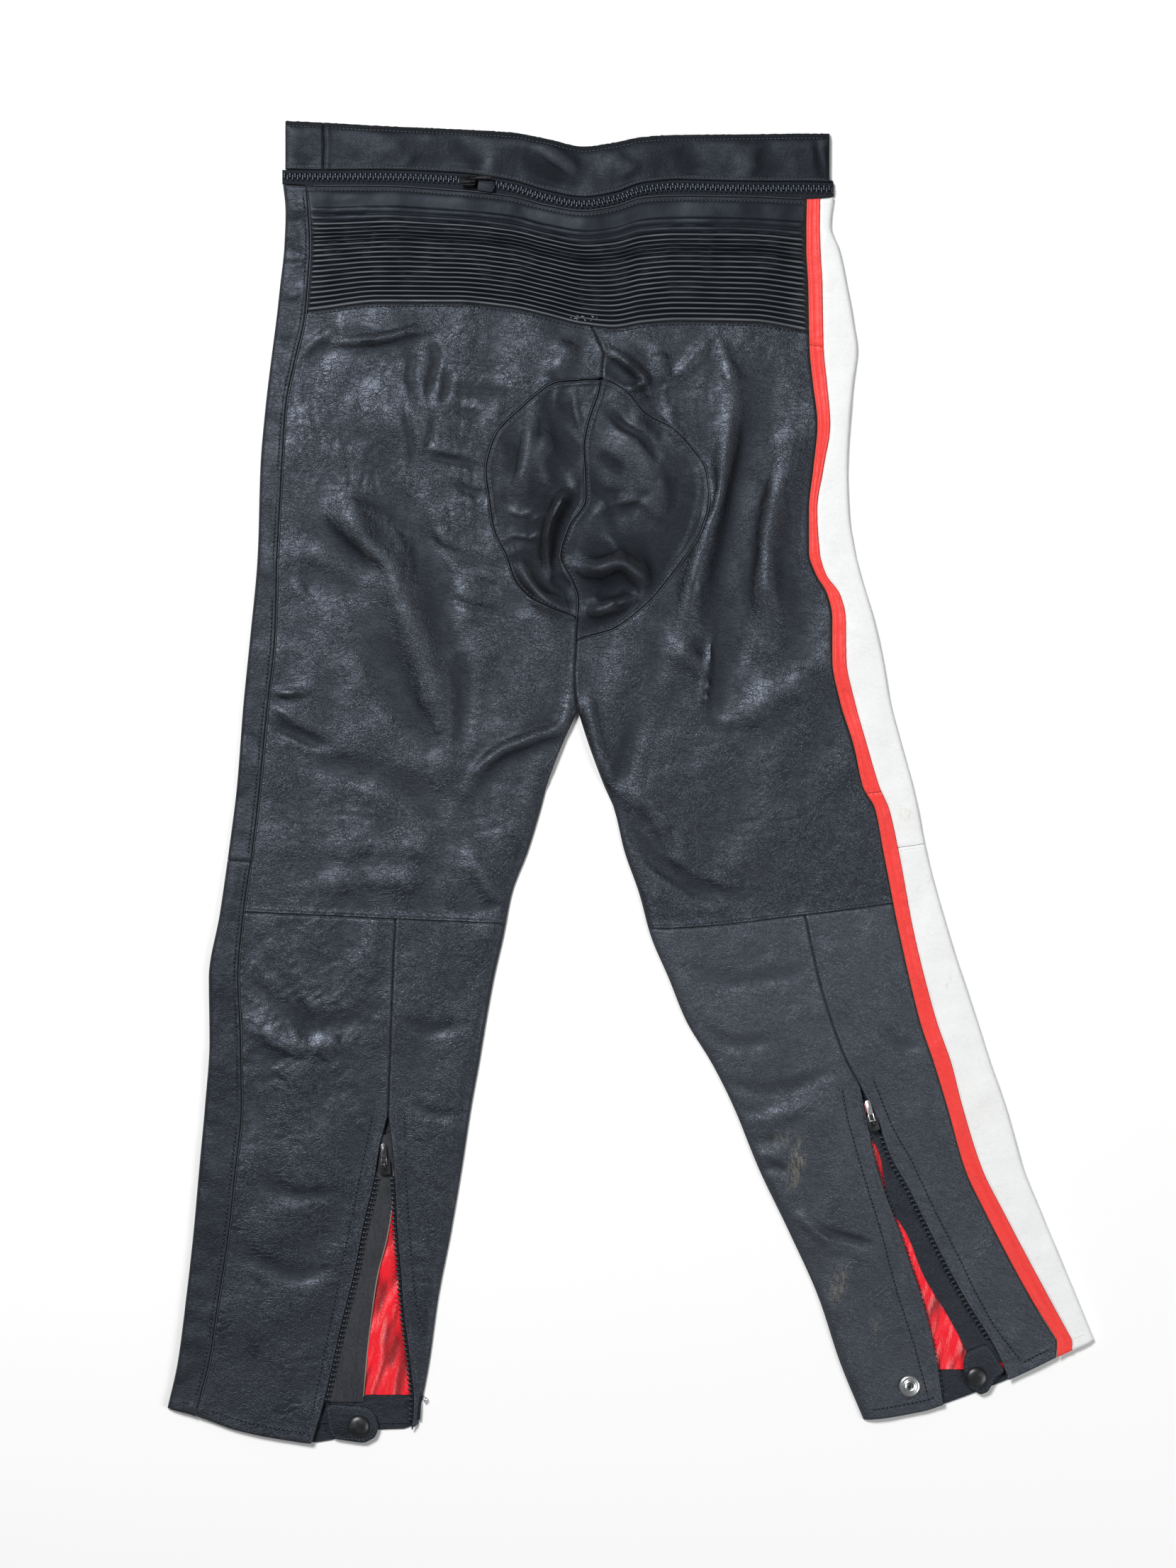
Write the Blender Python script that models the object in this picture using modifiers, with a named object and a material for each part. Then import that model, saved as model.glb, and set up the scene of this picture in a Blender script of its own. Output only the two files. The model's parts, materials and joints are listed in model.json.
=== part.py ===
"""Leather motorcycle trousers laid flat on a floor with the back up.

The tables give places in millimetres: x is measured to the right of the middle of the outline,
and drop is measured down the garment from the top of the connector strip above the waist zip.
Each cloth piece is a wall between two seams and two rows of one ladder of rows, so that pieces
that meet at a seam share the same stations and stay one seam gap apart.
"""

import math

import bmesh
import bpy
from mathutils import Matrix, Vector

# Driving dimensions, in millimetres
LENGTH = 1026.0          # top of the connector strip to the lowest hem
WALL = 1.4               # leather
LINING_WALL = 1.0        # satin lining and facing
SEAM_GAP = 0.3           # between neighbouring pieces and between lying layers
STACK = 2 * WALL + SEAM_GAP  # height where the back lies on the front
RISE = 3.5               # how much higher the cloth stands a little way in from its edges
ROLL = 4.0               # how quickly it rises
ROLL_IN = 3.0            # a folded side edge is already this far round its roll
SIDE_ROLL = 2.7          # reach of the rounded fold at a side
FOLD_CALM = 12.0         # folds die out this near an edge
RIBS = 20
RIB_HEIGHT = 1.1
RIB_BAND = 0.165         # share of the stretch panel that is plain, at the top

MILLIMETRE = 0.001


class Table:
    """Rows of numbers under named columns. Each column is a smooth curve over the first one."""

    def __init__(self, columns, *rows):
        names = columns.split()
        for place, name in enumerate(names[1:], start=1):
            setattr(self, name, curve([(row[0], row[place]) for row in rows]))


def curve(points):
    """A smooth curve through points that never overshoots them, held level past its ends."""
    xs = [p[0] for p in points]
    ys = [p[1] for p in points]
    chords = [(ys[i + 1] - ys[i]) / (xs[i + 1] - xs[i]) for i in range(len(xs) - 1)]
    slopes = [chords[0]]
    for before, after in zip(chords, chords[1:]):
        same_way = before * after > 0
        slopes.append(2 * before * after / (before + after) if same_way else 0.0)
    slopes.append(chords[-1])

    def value(x):
        if x <= xs[0]:
            return ys[0]
        if x >= xs[-1]:
            return ys[-1]
        i = max(k for k in range(len(xs) - 1) if xs[k] <= x)
        span = xs[i + 1] - xs[i]
        t = (x - xs[i]) / span
        return (
            ys[i] * (1 + 2 * t) * (1 - t) ** 2
            + slopes[i] * span * t * (1 - t) ** 2
            + ys[i + 1] * t * t * (3 - 2 * t)
            + slopes[i + 1] * span * t * t * (t - 1)
        )

    return value


# Cross lines of the garment: their drop at each place across it
WAIST = Table(
    "x  strip_top  zip_line  body_top  rib_edge",
    (-270, 0.0, 43.5, 50.0, 151.0),
    (-238, 1.5, 44.0, 51.5, 147.0),
    (-194, 4.0, 44.0, 51.5, 142.0),
    (-137, 6.5, 46.0, 55.0, 142.0),
    (-93, 9.0, 52.0, 59.5, 146.0),
    (-65, 14.0, 60.0, 66.5, 152.0),
    (-36, 20.0, 65.0, 71.0, 159.0),
    (-13, 17.0, 61.5, 67.5, 161.5),
    (10, 12.5, 54.0, 60.5, 158.0),
    (36, 11.0, 51.5, 59.0, 156.0),
    (94, 10.5, 53.0, 60.0, 157.0),
    (136, 10.0, 53.0, 61.5, 164.0),
    (158, 10.0, 53.5, 60.0, 168.0),
)
LEGS_ACROSS = Table(
    "x  knee",
    (-320, 612.5),
    (-182, 619.0),
    (-60, 624.0),
    (20, 626.5),
    (135, 616.0),
    (250, 600.0),
)
HEMS = Table(
    "x  hem",
    (-359, 998.0),
    (-336, 1004.0),
    (-305, 1015.0),
    (-265, 1023.0),
    (-248, 1025.0),
    (-196, 1015.0),
    (-171, 1014.0),
    (-163, 1010.0),
    (180, 1007.0),
    (226, 1000.5),
    (243, 995.0),
    (296, 974.5),
    (334, 956.5),
    (359, 945.5),
)

# Lengthwise lines: their x at each drop
LEFT_SIDE = Table(
    "drop  edge  seam",
    (45, -270.0, -252.0),
    (71, -267.5, -249.5),
    (98, -268.5, -248.5),
    (126, -271.5, -250.0),
    (153, -274.5, -252.5),
    (184, -278.5, -259.5),
    (222, -283.0, -267.0),
    (269, -287.0, -270.0),
    (335, -289.0, -273.5),
    (401, -295.0, -275.5),
    (456, -300.5, -281.5),
    (514, -305.0, -287.0),
    (566, -311.5, -293.0),
    (615, -318.5, -300.0),
    (665, -327.0, -304.0),
    (714, -326.5, -302.0),
    (764, -330.0, -301.5),
    (813, -334.5, -306.0),
    (863, -339.0, -311.5),
    (912, -344.5, -319.0),
    (962, -351.0, -326.5),
    (998, -359.0, -336.0),
)
SEAT = Table(
    "drop  patch_left  centre  patch_right",
    (160, -30.0, -30.0, -30.0),
    (184, -21.0, -21.0, -21.0),
    (200, -22.5, -22.5, -22.5),
    (203, -57.0, -23.0, -14.0),
    (212, -72.0, -25.0, -1.0),
    (226, -88.0, -30.0, 11.0),
    (240, -102.0, -34.0, 34.0),
    (254, -108.5, -36.0, 47.5),
    (271, -112.0, -35.0, 58.0),
    (293, -109.5, -34.5, 60.5),
    (316, -106.0, -48.0, 55.0),
    (338, -96.0, -54.0, 42.0),
    (357, -89.5, -45.0, 28.0),
    (370, -78.0, -40.5, 17.5),
    (378, -62.5, -40.5, 9.0),
    (387, -41.0, -41.0, -2.0),
    (394, -41.5, -41.5, -13.0),
    (404, -42.0, -42.0, -42.0),
    (434, -43.0, -43.0, -43.0),
    (459, -41.0, -41.0, -41.0),
)
INNER_LEGS = Table(
    "drop  left  right",
    (459, -41.5, -40.5),
    (484, -53.0, -32.5),
    (516, -65.0, -20.5),
    (533, -69.5, -13.0),
    (566, -79.5, -5.0),
    (599, -92.0, 6.5),
    (632, -98.5, 15.5),
    (665, -106.0, 29.5),
    (698, -112.0, 43.0),
    (731, -117.5, 63.0),
    (764, -123.5, 79.5),
    (813, -131.0, 99.5),
    (863, -139.5, 123.5),
    (912, -149.0, 145.5),
    (962, -156.0, 162.0),
    (1007, -164.5, 180.5),
)
RIGHT_SIDE = Table(
    "drop  stripe_in  stripe_out  edge",
    (58, 136.5, 147.0, 157.5),
    (82, 136.0, 146.5, 155.0),
    (100, 136.0, 147.0, 161.5),
    (128, 137.5, 148.5, 167.5),
    (159, 138.0, 149.0, 173.0),
    (178, 138.5, 149.5, 175.5),
    (203, 141.0, 152.0, 172.5),
    (236, 144.5, 154.5, 169.5),
    (269, 141.5, 149.5, 168.0),
    (302, 138.0, 144.5, 169.0),
    (335, 138.0, 146.5, 174.0),
    (351, 143.0, 151.0, 178.0),
    (368, 152.5, 162.5, 183.0),
    (385, 156.0, 166.5, 188.0),
    (418, 156.0, 167.0, 195.5),
    (450, 162.0, 173.5, 201.0),
    (484, 172.5, 183.0, 210.0),
    (517, 180.0, 193.0, 219.0),
    (533, 189.0, 200.0, 222.5),
    (566, 195.5, 207.5, 229.0),
    (632, 208.5, 220.0, 247.0),
    (698, 224.0, 237.0, 268.5),
    (731, 235.0, 248.5, 279.0),
    (764, 245.0, 257.0, 290.5),
    (813, 259.0, 272.5, 304.5),
    (846, 274.5, 289.0, 318.0),
    (912, 309.5, 324.0, 345.5),
    (945, 330.0, 342.0, 359.0),
)
FRONT = Table(
    "drop  left_seam  right_seam",
    (50, -249.0, 134.0),
    (300, -268.0, 150.0),
    (620, -299.0, 222.0),
    (820, -314.0, 284.0),
    (1000, -334.0, 340.0),
)
CALF_SEAMS = Table(
    "drop  left  right",
    (616, -182.0, 135.0),
    (668, -184.5, 146.5),
    (726, -186.5, 166.0),
    (749, -187.5, 178.0),
    (771, -188.0, 186.0),
)
ANKLE_LEFT = Table(
    "drop  outer  inner",
    (771, -188.0, -188.0),
    (795, -194.0, -185.0),
    (822, -198.5, -183.0),
    (856, -206.5, -181.5),
    (892, -213.5, -178.5),
    (928, -222.5, -175.5),
    (968, -231.5, -170.5),
    (994, -237.5, -168.5),
    (1025, -247.0, -171.0),
)
ANKLE_RIGHT = Table(
    "drop  inner  outer",
    (749, 178.0, 178.0),
    (774, 183.5, 190.5),
    (801, 188.5, 200.0),
    (828, 196.5, 215.0),
    (855, 206.5, 228.5),
    (883, 216.0, 242.5),
    (910, 225.0, 257.0),
    (955, 236.0, 284.0),
    (995, 242.5, 300.0),
)
LEFT_OPENING = 771.0     # drop of the top of each ankle opening
RIGHT_OPENING = 749.0
FLAPS = Table(
    "drop  left_free  right_free",
    (780, -183.0, 181.0),
    (800, -183.0, 192.5),
    (838, -184.5, 200.0),
    (865, -188.5, 215.0),
    (895, -196.0, 227.0),
    (925, -200.5, 245.0),
    (955, -204.0, 260.5),
    (990, -207.0, 272.0),
)

PATCH_TOP = 200.0
LEFT_PATCH_FOOT = 387.0
RIGHT_PATCH_FOOT = 404.0
CROTCH = 459.0

# Ladder of rows between the cross lines: how far down the centre each stretch ends, and its rows
WAIST_ROWS = 7
CALF_ROWS = 17
CENTRE_RIB_EDGE = 159.0
CENTRE_KNEE = 624.0
THIGH_STEPS = ((200.0, 4), (203.0, 2), (212.0, 2), (380.0, 15), (404.0, 4), (459.0, 4), (624.0, 10))

# The largest folds: three points on each crest or trough, its height (below 0 for a trough), width
FOLDS = (
    ("pucker below the waist", (-20, 184), (-5, 193), (9, 206), 8.0, 9.0),
    ("pocket under that pucker", (-9, 206), (2, 211), (12, 216), -4.0, 7.0),
    ("trough beside the left patch ridge", (-53, 210), (-51, 245), (-39, 275), -3.5, 9.0),
    ("ridge down the left patch", (-43, 286), (-64, 314), (-61, 355), 10.0, 9.0),
    ("roll along the foot of the left patch", (-88, 335), (-71, 363), (-43, 380), 6.0, 9.0),
    ("bulge on the right patch", (-52, 345), (-15, 348), (6, 362), 9.0, 9.0),
    ("pocket below that bulge", (-29, 363), (-14, 364), (0, 367), -5.0, 6.0),
    ("lower lip of the right patch", (5, 366), (-14, 378), (-37, 384), 6.0, 8.0),
    ("puff on the right patch", (-15, 225), (10, 265), (22, 315), 3.5, 22.0),
    ("long ridge left of the right thigh trough", (85, 190), (66, 320), (38, 455), 4.0, 17.0),
    ("long trough down the right thigh", (108, 200), (82, 325), (60, 458), -3.5, 15.0),
    ("ridge right of that trough", (124, 265), (101, 335), (112, 400), 3.5, 17.0),
    ("ridge inside the right leg", (-36, 440), (-28, 500), (-10, 545), 3.0, 9.0),
    ("trough above the right knee", (-11, 534), (30, 592), (84, 603), -3.0, 9.0),
    ("trough from the left side seam", (-280, 468), (-211, 507), (-145, 552), -3.0, 13.0),
    ("ridge down the left thigh", (-190, 330), (-158, 425), (-128, 500), 3.5, 17.0),
    ("trough beside it", (-222, 265), (-164, 312), (-137, 405), -3.0, 14.0),
    ("crease inside the left thigh", (-118, 505), (-88, 485), (-52, 473), 3.0, 10.0),
    ("swell of the left seat", (-225, 215), (-165, 230), (-120, 215), 3.0, 24.0),
    ("swell of the left calf", (-250, 690), (-252, 780), (-262, 900), 2.0, 30.0),
    ("swell of the right calf", (130, 700), (160, 800), (200, 900), 2.0, 26.0),
)
FOLD_STEPS = 10

# Hardware sizes
SLIDER_WIDTH = 8.5
SLIDER_LENGTH = 13.0
SLIDER_PLATE = 1.2
SLIDER_THROAT = 1.4      # between its two plates
BRIDGE_LENGTH = 6.4
BRIDGE_WIDTH = 1.6
BRIDGE_HEIGHT = 3.6
BRIDGE_FORWARD = 0.6     # its middle ahead of the slider's middle
EYE_FORWARD = 2.0
EYE_RADIUS = 1.1
PULL_WIDTH = 4.6
PULL_LENGTH = 17.0
PULL_THICKNESS = 1.0
PULL_WINDOW_WIDTH = 2.6
PULL_WINDOW_LENGTH = 4.6
PULL_BAR_RADIUS = 0.6
PULL_DROOP = math.radians(9)
SNAP_RADIUS = 8.4
SNAP_STEPS = 18

TURN_MERGE = 0.0001      # merge distance of turned pieces, in metres


def place(x, drop, z):
    """A point of the tables as a point of the model, in metres, with the box centred."""
    return Vector((x, LENGTH / 2 - drop, z)) * MILLIMETRE


def blend(a, b, share):
    return a + (b - a) * share


def even(start, end, count):
    return [blend(start, end, step / count) for step in range(count + 1)]


def smooth_step(value):
    t = min(1.0, max(0.0, value))
    return t * t * (3 - 2 * t)


# The form of the cloth that lies on top

def fold_path(start, middle, end):
    """Points along the curve that passes through three places."""
    points = []
    for step in range(FOLD_STEPS + 1):
        t = step / FOLD_STEPS
        weights = ((1 - t) * (1 - 2 * t), 4 * t * (1 - t), t * (2 * t - 1))
        points.append(tuple(
            weights[0] * a + weights[1] * b + weights[2] * c
            for a, b, c in zip(start, middle, end)
        ))
    return points


FOLD_PATHS = [(fold_path(*fold[1:4]), fold[4], fold[5]) for fold in FOLDS]


def fold_height(x, drop):
    """The sum of the folds at a place."""
    total = 0.0
    for points, height, width in FOLD_PATHS:
        nearest, along = 1e9, 0.0
        for step in range(FOLD_STEPS):
            (ax, ay), (bx, by) = points[step], points[step + 1]
            length = (bx - ax) ** 2 + (by - ay) ** 2
            t = ((x - ax) * (bx - ax) + (drop - ay) * (by - ay)) / length
            t = min(1.0, max(0.0, t))
            gap = math.hypot(x - blend(ax, bx, t), drop - blend(ay, by, t))
            if gap < nearest:
                nearest, along = gap, (step + t) / FOLD_STEPS
        if nearest < 3 * width:
            taper = smooth_step(along / 0.25) * smooth_step((1 - along) / 0.25)
            total += height * (0.25 + 0.75 * taper) * math.exp(-((nearest / width) ** 2))
    return total


def edge_distance(x, drop):
    """How far a place lies inside the edges of the laid garment."""
    folded = ROLL_IN * smooth_step((drop - 44) / 6)
    nearest = min(
        x - LEFT_SIDE.edge(drop) + folded,
        RIGHT_SIDE.edge(drop) - x + folded,
        drop - WAIST.strip_top(x),
    )
    if drop > CROTCH:
        parting = max(0.0, CROTCH + 60 - drop) * 0.5
        left, right = INNER_LEGS.left(drop), INNER_LEGS.right(drop)
        inner = left - x if x < (left + right) / 2 else x - right
        nearest = min(nearest, inner + parting)
    return max(0.0, nearest)


def height(x, drop):
    """Top of the cloth above the floor."""
    inside = edge_distance(x, drop)
    level = STACK + RISE * (1 - math.exp(-inside / ROLL))
    folds = fold_height(x, drop) * (1 - math.exp(-inside / FOLD_CALM))
    return max(STACK, level + folds)


def underside(x, drop, wall=WALL):
    """Bottom of a wall of even thickness under that top."""
    step = 2.0
    across = (height(x + step, drop) - height(x - step, drop)) / (2 * step)
    down = (height(x, drop + step) - height(x, drop - step)) / (2 * step)
    lean = min(1.3, math.sqrt(1 + across * across + down * down))
    return max(WALL + SEAM_GAP, height(x, drop) - wall * lean)


# The ladder of rows

def thigh_shares():
    """How far each row between the rib edge and the knee lies down that stretch."""
    drops = [CENTRE_RIB_EDGE]
    for end, count in THIGH_STEPS:
        start = drops[-1]
        drops += [blend(start, end, step / count) for step in range(1, count + 1)]
    return [(d - CENTRE_RIB_EDGE) / (CENTRE_KNEE - CENTRE_RIB_EDGE) for d in drops]


THIGH_SHARES = thigh_shares()
RIB_ROW = WAIST_ROWS
KNEE_ROW = RIB_ROW + len(THIGH_SHARES) - 1
HEM_ROW = KNEE_ROW + CALF_ROWS


def row_drop(row, x):
    """The drop of a row of the ladder at a place across the garment."""
    if row <= RIB_ROW:
        return blend(WAIST.body_top(x), WAIST.rib_edge(x), row / WAIST_ROWS)
    if row <= KNEE_ROW:
        share = THIGH_SHARES[row - RIB_ROW]
        return blend(WAIST.rib_edge(x), LEGS_ACROSS.knee(x), share)
    return blend(LEGS_ACROSS.knee(x), HEMS.hem(x), (row - KNEE_ROW) / CALF_ROWS)


def row_near(x, drop):
    """The row that passes nearest to a place."""
    return min(range(HEM_ROW + 1), key=lambda row: abs(row_drop(row, x) - drop))


def meet(line, row):
    """Where a lengthwise line crosses a row: its x and drop."""
    return cross(line, lambda x: row_drop(row, x))


def cross(line, level):
    """Where a lengthwise line meets a cross line, found by halving the stretch it lies in."""
    low, high = 0.0, LENGTH + 60.0
    for _ in range(40):
        middle = (low + high) / 2
        if middle < level(line(middle)):
            low = middle
        else:
            high = middle
    return line(low), low


def slope(line, drop):
    return (line(drop + 1) - line(drop - 1)) / 2


CENTRE_ROW = RIB_ROW + sum(count for _, count in THIGH_STEPS[:1])
CROTCH_ROW = RIB_ROW + sum(count for _, count in THIGH_STEPS[:6])


def back_left_inner(drop):
    """Inner side of the left back piece: centre seam, seat patch, centre seam, leg edge."""
    if PATCH_TOP < drop < LEFT_PATCH_FOOT:
        return SEAT.patch_left(drop)
    return front_left_inner(drop)


def back_right_inner(drop):
    if PATCH_TOP < drop < RIGHT_PATCH_FOOT:
        return SEAT.patch_right(drop)
    return front_right_inner(drop)


def front_left_inner(drop):
    return SEAT.centre(drop) if drop <= CROTCH else INNER_LEGS.left(drop)


def front_right_inner(drop):
    return SEAT.centre(drop) if drop <= CROTCH else INNER_LEGS.right(drop)


def calf_left_outer(drop):
    """Inner side of the left leg's outer calf piece: the calf seam, then the open zip."""
    return CALF_SEAMS.left(drop) if drop < LEFT_OPENING else ANKLE_LEFT.outer(drop)


def calf_left_inner(drop):
    return CALF_SEAMS.left(drop) if drop < LEFT_OPENING else ANKLE_LEFT.inner(drop)


def calf_right_inner(drop):
    return CALF_SEAMS.right(drop) if drop < RIGHT_OPENING else ANKLE_RIGHT.inner(drop)


def calf_right_outer(drop):
    return CALF_SEAMS.right(drop) if drop < RIGHT_OPENING else ANKLE_RIGHT.outer(drop)


# Scene, materials and mesh helpers

def clear_scene():
    for item in list(bpy.data.objects):
        bpy.data.objects.remove(item, do_unlink=True)


def collection(name):
    made = bpy.data.collections.new(name)
    bpy.context.scene.collection.children.link(made)
    return made


def material(name, colour, roughness, metallic=0.0):
    made = bpy.data.materials.new(name)
    made.use_nodes = True
    shader = made.node_tree.nodes["Principled BSDF"]
    shader.inputs["Base Color"].default_value = (*colour, 1.0)
    shader.inputs["Roughness"].default_value = roughness
    shader.inputs["Metallic"].default_value = metallic
    return made


def add_object(name, mesh, finish, group):
    mesh.materials.append(finish)
    made = bpy.data.objects.new(name, mesh)
    group.objects.link(made)
    return made


def sheet_grid(rows, columns):
    """A grid mesh and its vertices, sorted into rows from the top and columns from the left."""
    grid = bmesh.new()
    grid.verts.layers.int.new("spot")
    bmesh.ops.create_grid(grid, x_segments=columns - 1, y_segments=rows - 1, size=1.0)
    corners = sorted(grid.verts, key=lambda v: (-round(v.co.y, 5), round(v.co.x, 5)))
    return grid, [corners[r * columns:(r + 1) * columns] for r in range(rows)]


def wall_object(name, outer, inner, finish, group):
    """A closed wall between two sheets of points that have the same rows and columns."""
    rows, columns = len(outer), len(outer[0])
    grid, corners = sheet_grid(rows, columns)
    marker = grid.verts.layers.int["spot"]
    for r in range(rows):
        for c in range(columns):
            corners[r][c].co = outer[r][c]
            corners[r][c][marker] = r * columns + c
    extruded = bmesh.ops.extrude_face_region(grid, geom=grid.faces[:])
    for item in extruded["geom"]:
        if isinstance(item, bmesh.types.BMVert):
            r, c = divmod(item[marker], columns)
            item.co = inner[r][c]
    bmesh.ops.recalc_face_normals(grid, faces=grid.faces[:])
    mesh = bpy.data.meshes.new(name)
    grid.to_mesh(mesh)
    grid.free()
    if signed_volume(mesh) < 0:
        mesh.flip_normals()
    mesh.shade_smooth()
    mesh.set_sharp_from_angle(angle=math.radians(40))
    return add_object(name, mesh, finish, group)


def signed_volume(mesh):
    mesh.calc_loop_triangles()
    total = 0.0
    for triangle in mesh.loop_triangles:
        a, b, c = (mesh.vertices[i].co for i in triangle.vertices)
        total += a.dot(b.cross(c)) / 6
    return total


def lay(name, spots, top, under, finish, group):
    """A wall laid over places in plan, with its top and underside given by functions."""
    outer = [[place(x, drop, top(x, drop)) for x, drop in row] for row in spots]
    inner = [[place(x, drop, under(x, drop)) for x, drop in row] for row in spots]
    return wall_object(name, outer, inner, finish, group)


# Cloth pieces

def ladder_spots(left, right, rows, across, gaps=(True, True, True, True)):
    """Places of a piece between two lengthwise lines over rows of the ladder.

    gaps says which of its left, right, top and bottom sides are seams.
    """
    half = SEAM_GAP / 2
    spots = []
    for row in rows:
        x_left, drop_left = meet(left, row)
        x_right, drop_right = meet(right, row)
        if gaps[0]:
            x_left += half * math.hypot(1, slope(left, drop_left))
        if gaps[1]:
            x_right -= half * math.hypot(1, slope(right, drop_right))
        if x_right - x_left < 2 * half:
            middle = (x_left + x_right) / 2
            x_left, x_right = middle - half, middle + half
        shift = 0.0
        if row == rows[0] and gaps[2]:
            shift = half
        if row == rows[-1] and gaps[3]:
            shift = -half
        line = []
        for share in across:
            x = blend(x_left, x_right, share)
            line.append((x, row_drop(row, x) + shift))
        spots.append(line)
    return spots


BACK_ACROSS = (0.0, 0.16, 0.33, 0.5, 0.67, 0.84, 1.0)
BACK_ACROSS_RIGHT = tuple(1 - share for share in reversed(BACK_ACROSS))
PATCH_ACROSS = tuple(step / 8 for step in range(9))
CALF_ACROSS = (0.0, 0.1, 0.3, 0.55, 0.8, 1.0)
CALF_ACROSS_OUT = tuple(1 - share for share in reversed(CALF_ACROSS))


def free_below_crotch(spots, rows, line, side):
    """Moves the seam gap off the leg's free inner edge below the crotch."""
    for place_in_piece, row in enumerate(rows):
        if row > CROTCH_ROW:
            x = meet(line, row)[0]
            spots[place_in_piece][side] = (x, row_drop(row, x))
    return spots


def back_pieces(black, group):
    rows = list(range(RIB_ROW, KNEE_ROW + 1))
    left = ladder_spots(LEFT_SIDE.seam, back_left_inner, rows, BACK_ACROSS)
    left = free_below_crotch(left, rows, back_left_inner, -1)
    lay("back_left", left, height, underside, black, group)
    right = ladder_spots(back_right_inner, RIGHT_SIDE.stripe_in, rows, BACK_ACROSS_RIGHT)
    right = free_below_crotch(right, rows, back_right_inner, 0)
    lay("back_right", right, height, underside, black, group)


def seat_patches(black, group):
    top = CENTRE_ROW
    left_end = row_near(-41.0, LEFT_PATCH_FOOT)
    right_end = row_near(-42.0, RIGHT_PATCH_FOOT)
    left = ladder_spots(
        SEAT.patch_left, SEAT.centre, list(range(top, left_end + 1)), PATCH_ACROSS)
    lay("seat_patch_left", left, height, underside, black, group)
    right = ladder_spots(
        SEAT.centre, SEAT.patch_right, list(range(top, right_end + 1)), PATCH_ACROSS)
    lay("seat_patch_right", right, height, underside, black, group)


def stretch_panel(black, group):
    """The accordion panel: ribs raised in its outer points over a plain inside."""
    shares = [0.0, RIB_BAND]
    for rib in range(RIBS):
        for part in (0.5, 1.0):
            shares.append(blend(RIB_BAND, 1.0, (rib + part) / RIBS))
    half = SEAM_GAP / 2
    spots, raised = [], []
    for number, share in enumerate(shares):
        def line_drop(x, share=share):
            return blend(WAIST.body_top(x), WAIST.rib_edge(x), share)

        lines = (LEFT_SIDE.seam, SEAT.centre, RIGHT_SIDE.stripe_in)
        ends = [cross(line, line_drop)[0] for line in lines]
        left, middle, right = ends[0] + half, ends[1], ends[2] - half
        xs = [blend(left, middle - half, share_in) for share_in in BACK_ACROSS]
        xs += [blend(middle + half, right, share_in) for share_in in BACK_ACROSS_RIGHT]
        shift = -half if number == len(shares) - 1 else 0.0
        spots.append([(x, line_drop(x) + shift) for x in xs])
        raised.append(RIB_HEIGHT if number >= 2 and number % 2 == 0 else 0.0)
    outer = [
        [place(x, drop, height(x, drop) + lift) for x, drop in row]
        for row, lift in zip(spots, raised)
    ]
    inner = [[place(x, drop, underside(x, drop)) for x, drop in row] for row in spots]
    wall_object("stretch_panel", outer, inner, black, group)


def wrapped_side(name, seam, edge, front_seam, side, first, last, finish, group):
    """A side panel: from its seam on the back, round the folded edge, to its front seam.

    side is -1 on the left and 1 on the right.
    """
    half = SEAM_GAP / 2
    outer, inner = [], []
    for row in range(first, last + 1):
        shift = 0.0
        if row == first and first > 0:
            shift = half
        if row == last and last < HEM_ROW:
            shift = -half
        seam_x, seam_drop = meet(seam, row)
        seam_x += side * half * math.hypot(1, slope(seam, seam_drop))
        edge_x, edge_drop = meet(edge, row)
        turn_x = edge_x - side * SIDE_ROLL
        front_x = front_seam(edge_drop) + side * half
        top_z = height(turn_x, edge_drop)
        line_outer, line_inner = [], []
        for share in (0.0, 1.0):
            x = blend(seam_x, turn_x, share)
            drop = row_drop(row, x) + shift
            low = blend(underside(x, drop), top_z - WALL, share ** 4)
            line_outer.append(place(x, drop, height(x, drop) if share < 1 else top_z))
            line_inner.append(place(x, drop, low))
        edge_drop += shift
        for degrees in (45, 90, 135, 180):
            angle = math.radians(degrees)
            for points, inset in ((line_outer, 0.0), (line_inner, WALL)):
                x = turn_x + side * (SIDE_ROLL - inset) * math.sin(angle)
                z = top_z / 2 + (top_z / 2 - inset) * math.cos(angle)
                points.append(place(x, edge_drop, z))
        line_outer.append(place(front_x, edge_drop, 0.0))
        line_inner.append(place(front_x, edge_drop, WALL))
        outer.append(line_outer)
        inner.append(line_inner)
    return wall_object(name, outer, inner, finish, group)


def side_panels(black, white, group):
    left_join = row_near(-305.0, 574.0)
    for name, first, last in (
        ("side_left_upper", 0, left_join),
        ("side_left_lower", left_join, HEM_ROW),
    ):
        wrapped_side(name, LEFT_SIDE.seam, LEFT_SIDE.edge, FRONT.left_seam, -1,
                     first, last, black, group)
    right_join = row_near(220.0, 562.0)
    for name, first, last in (
        ("side_white_upper", 0, right_join),
        ("side_white_lower", right_join, HEM_ROW),
    ):
        wrapped_side(name, RIGHT_SIDE.stripe_out, RIGHT_SIDE.edge, FRONT.right_seam, 1,
                     first, last, white, group)


def red_stripes(red, group):
    joins = [0, row_near(144.0, 175.0), row_near(187.0, 521.0), HEM_ROW]
    names = ("stripe_red_top", "stripe_red_middle", "stripe_red_lower")
    for name, first, last in zip(names, joins, joins[1:]):
        gaps = (True, True, first > 0, last < HEM_ROW)
        rows = list(range(first, last + 1))
        spots = ladder_spots(
            RIGHT_SIDE.stripe_in, RIGHT_SIDE.stripe_out, rows, (0.0, 1.0), gaps)
        lay(name, spots, height, underside, red, group)


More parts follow.
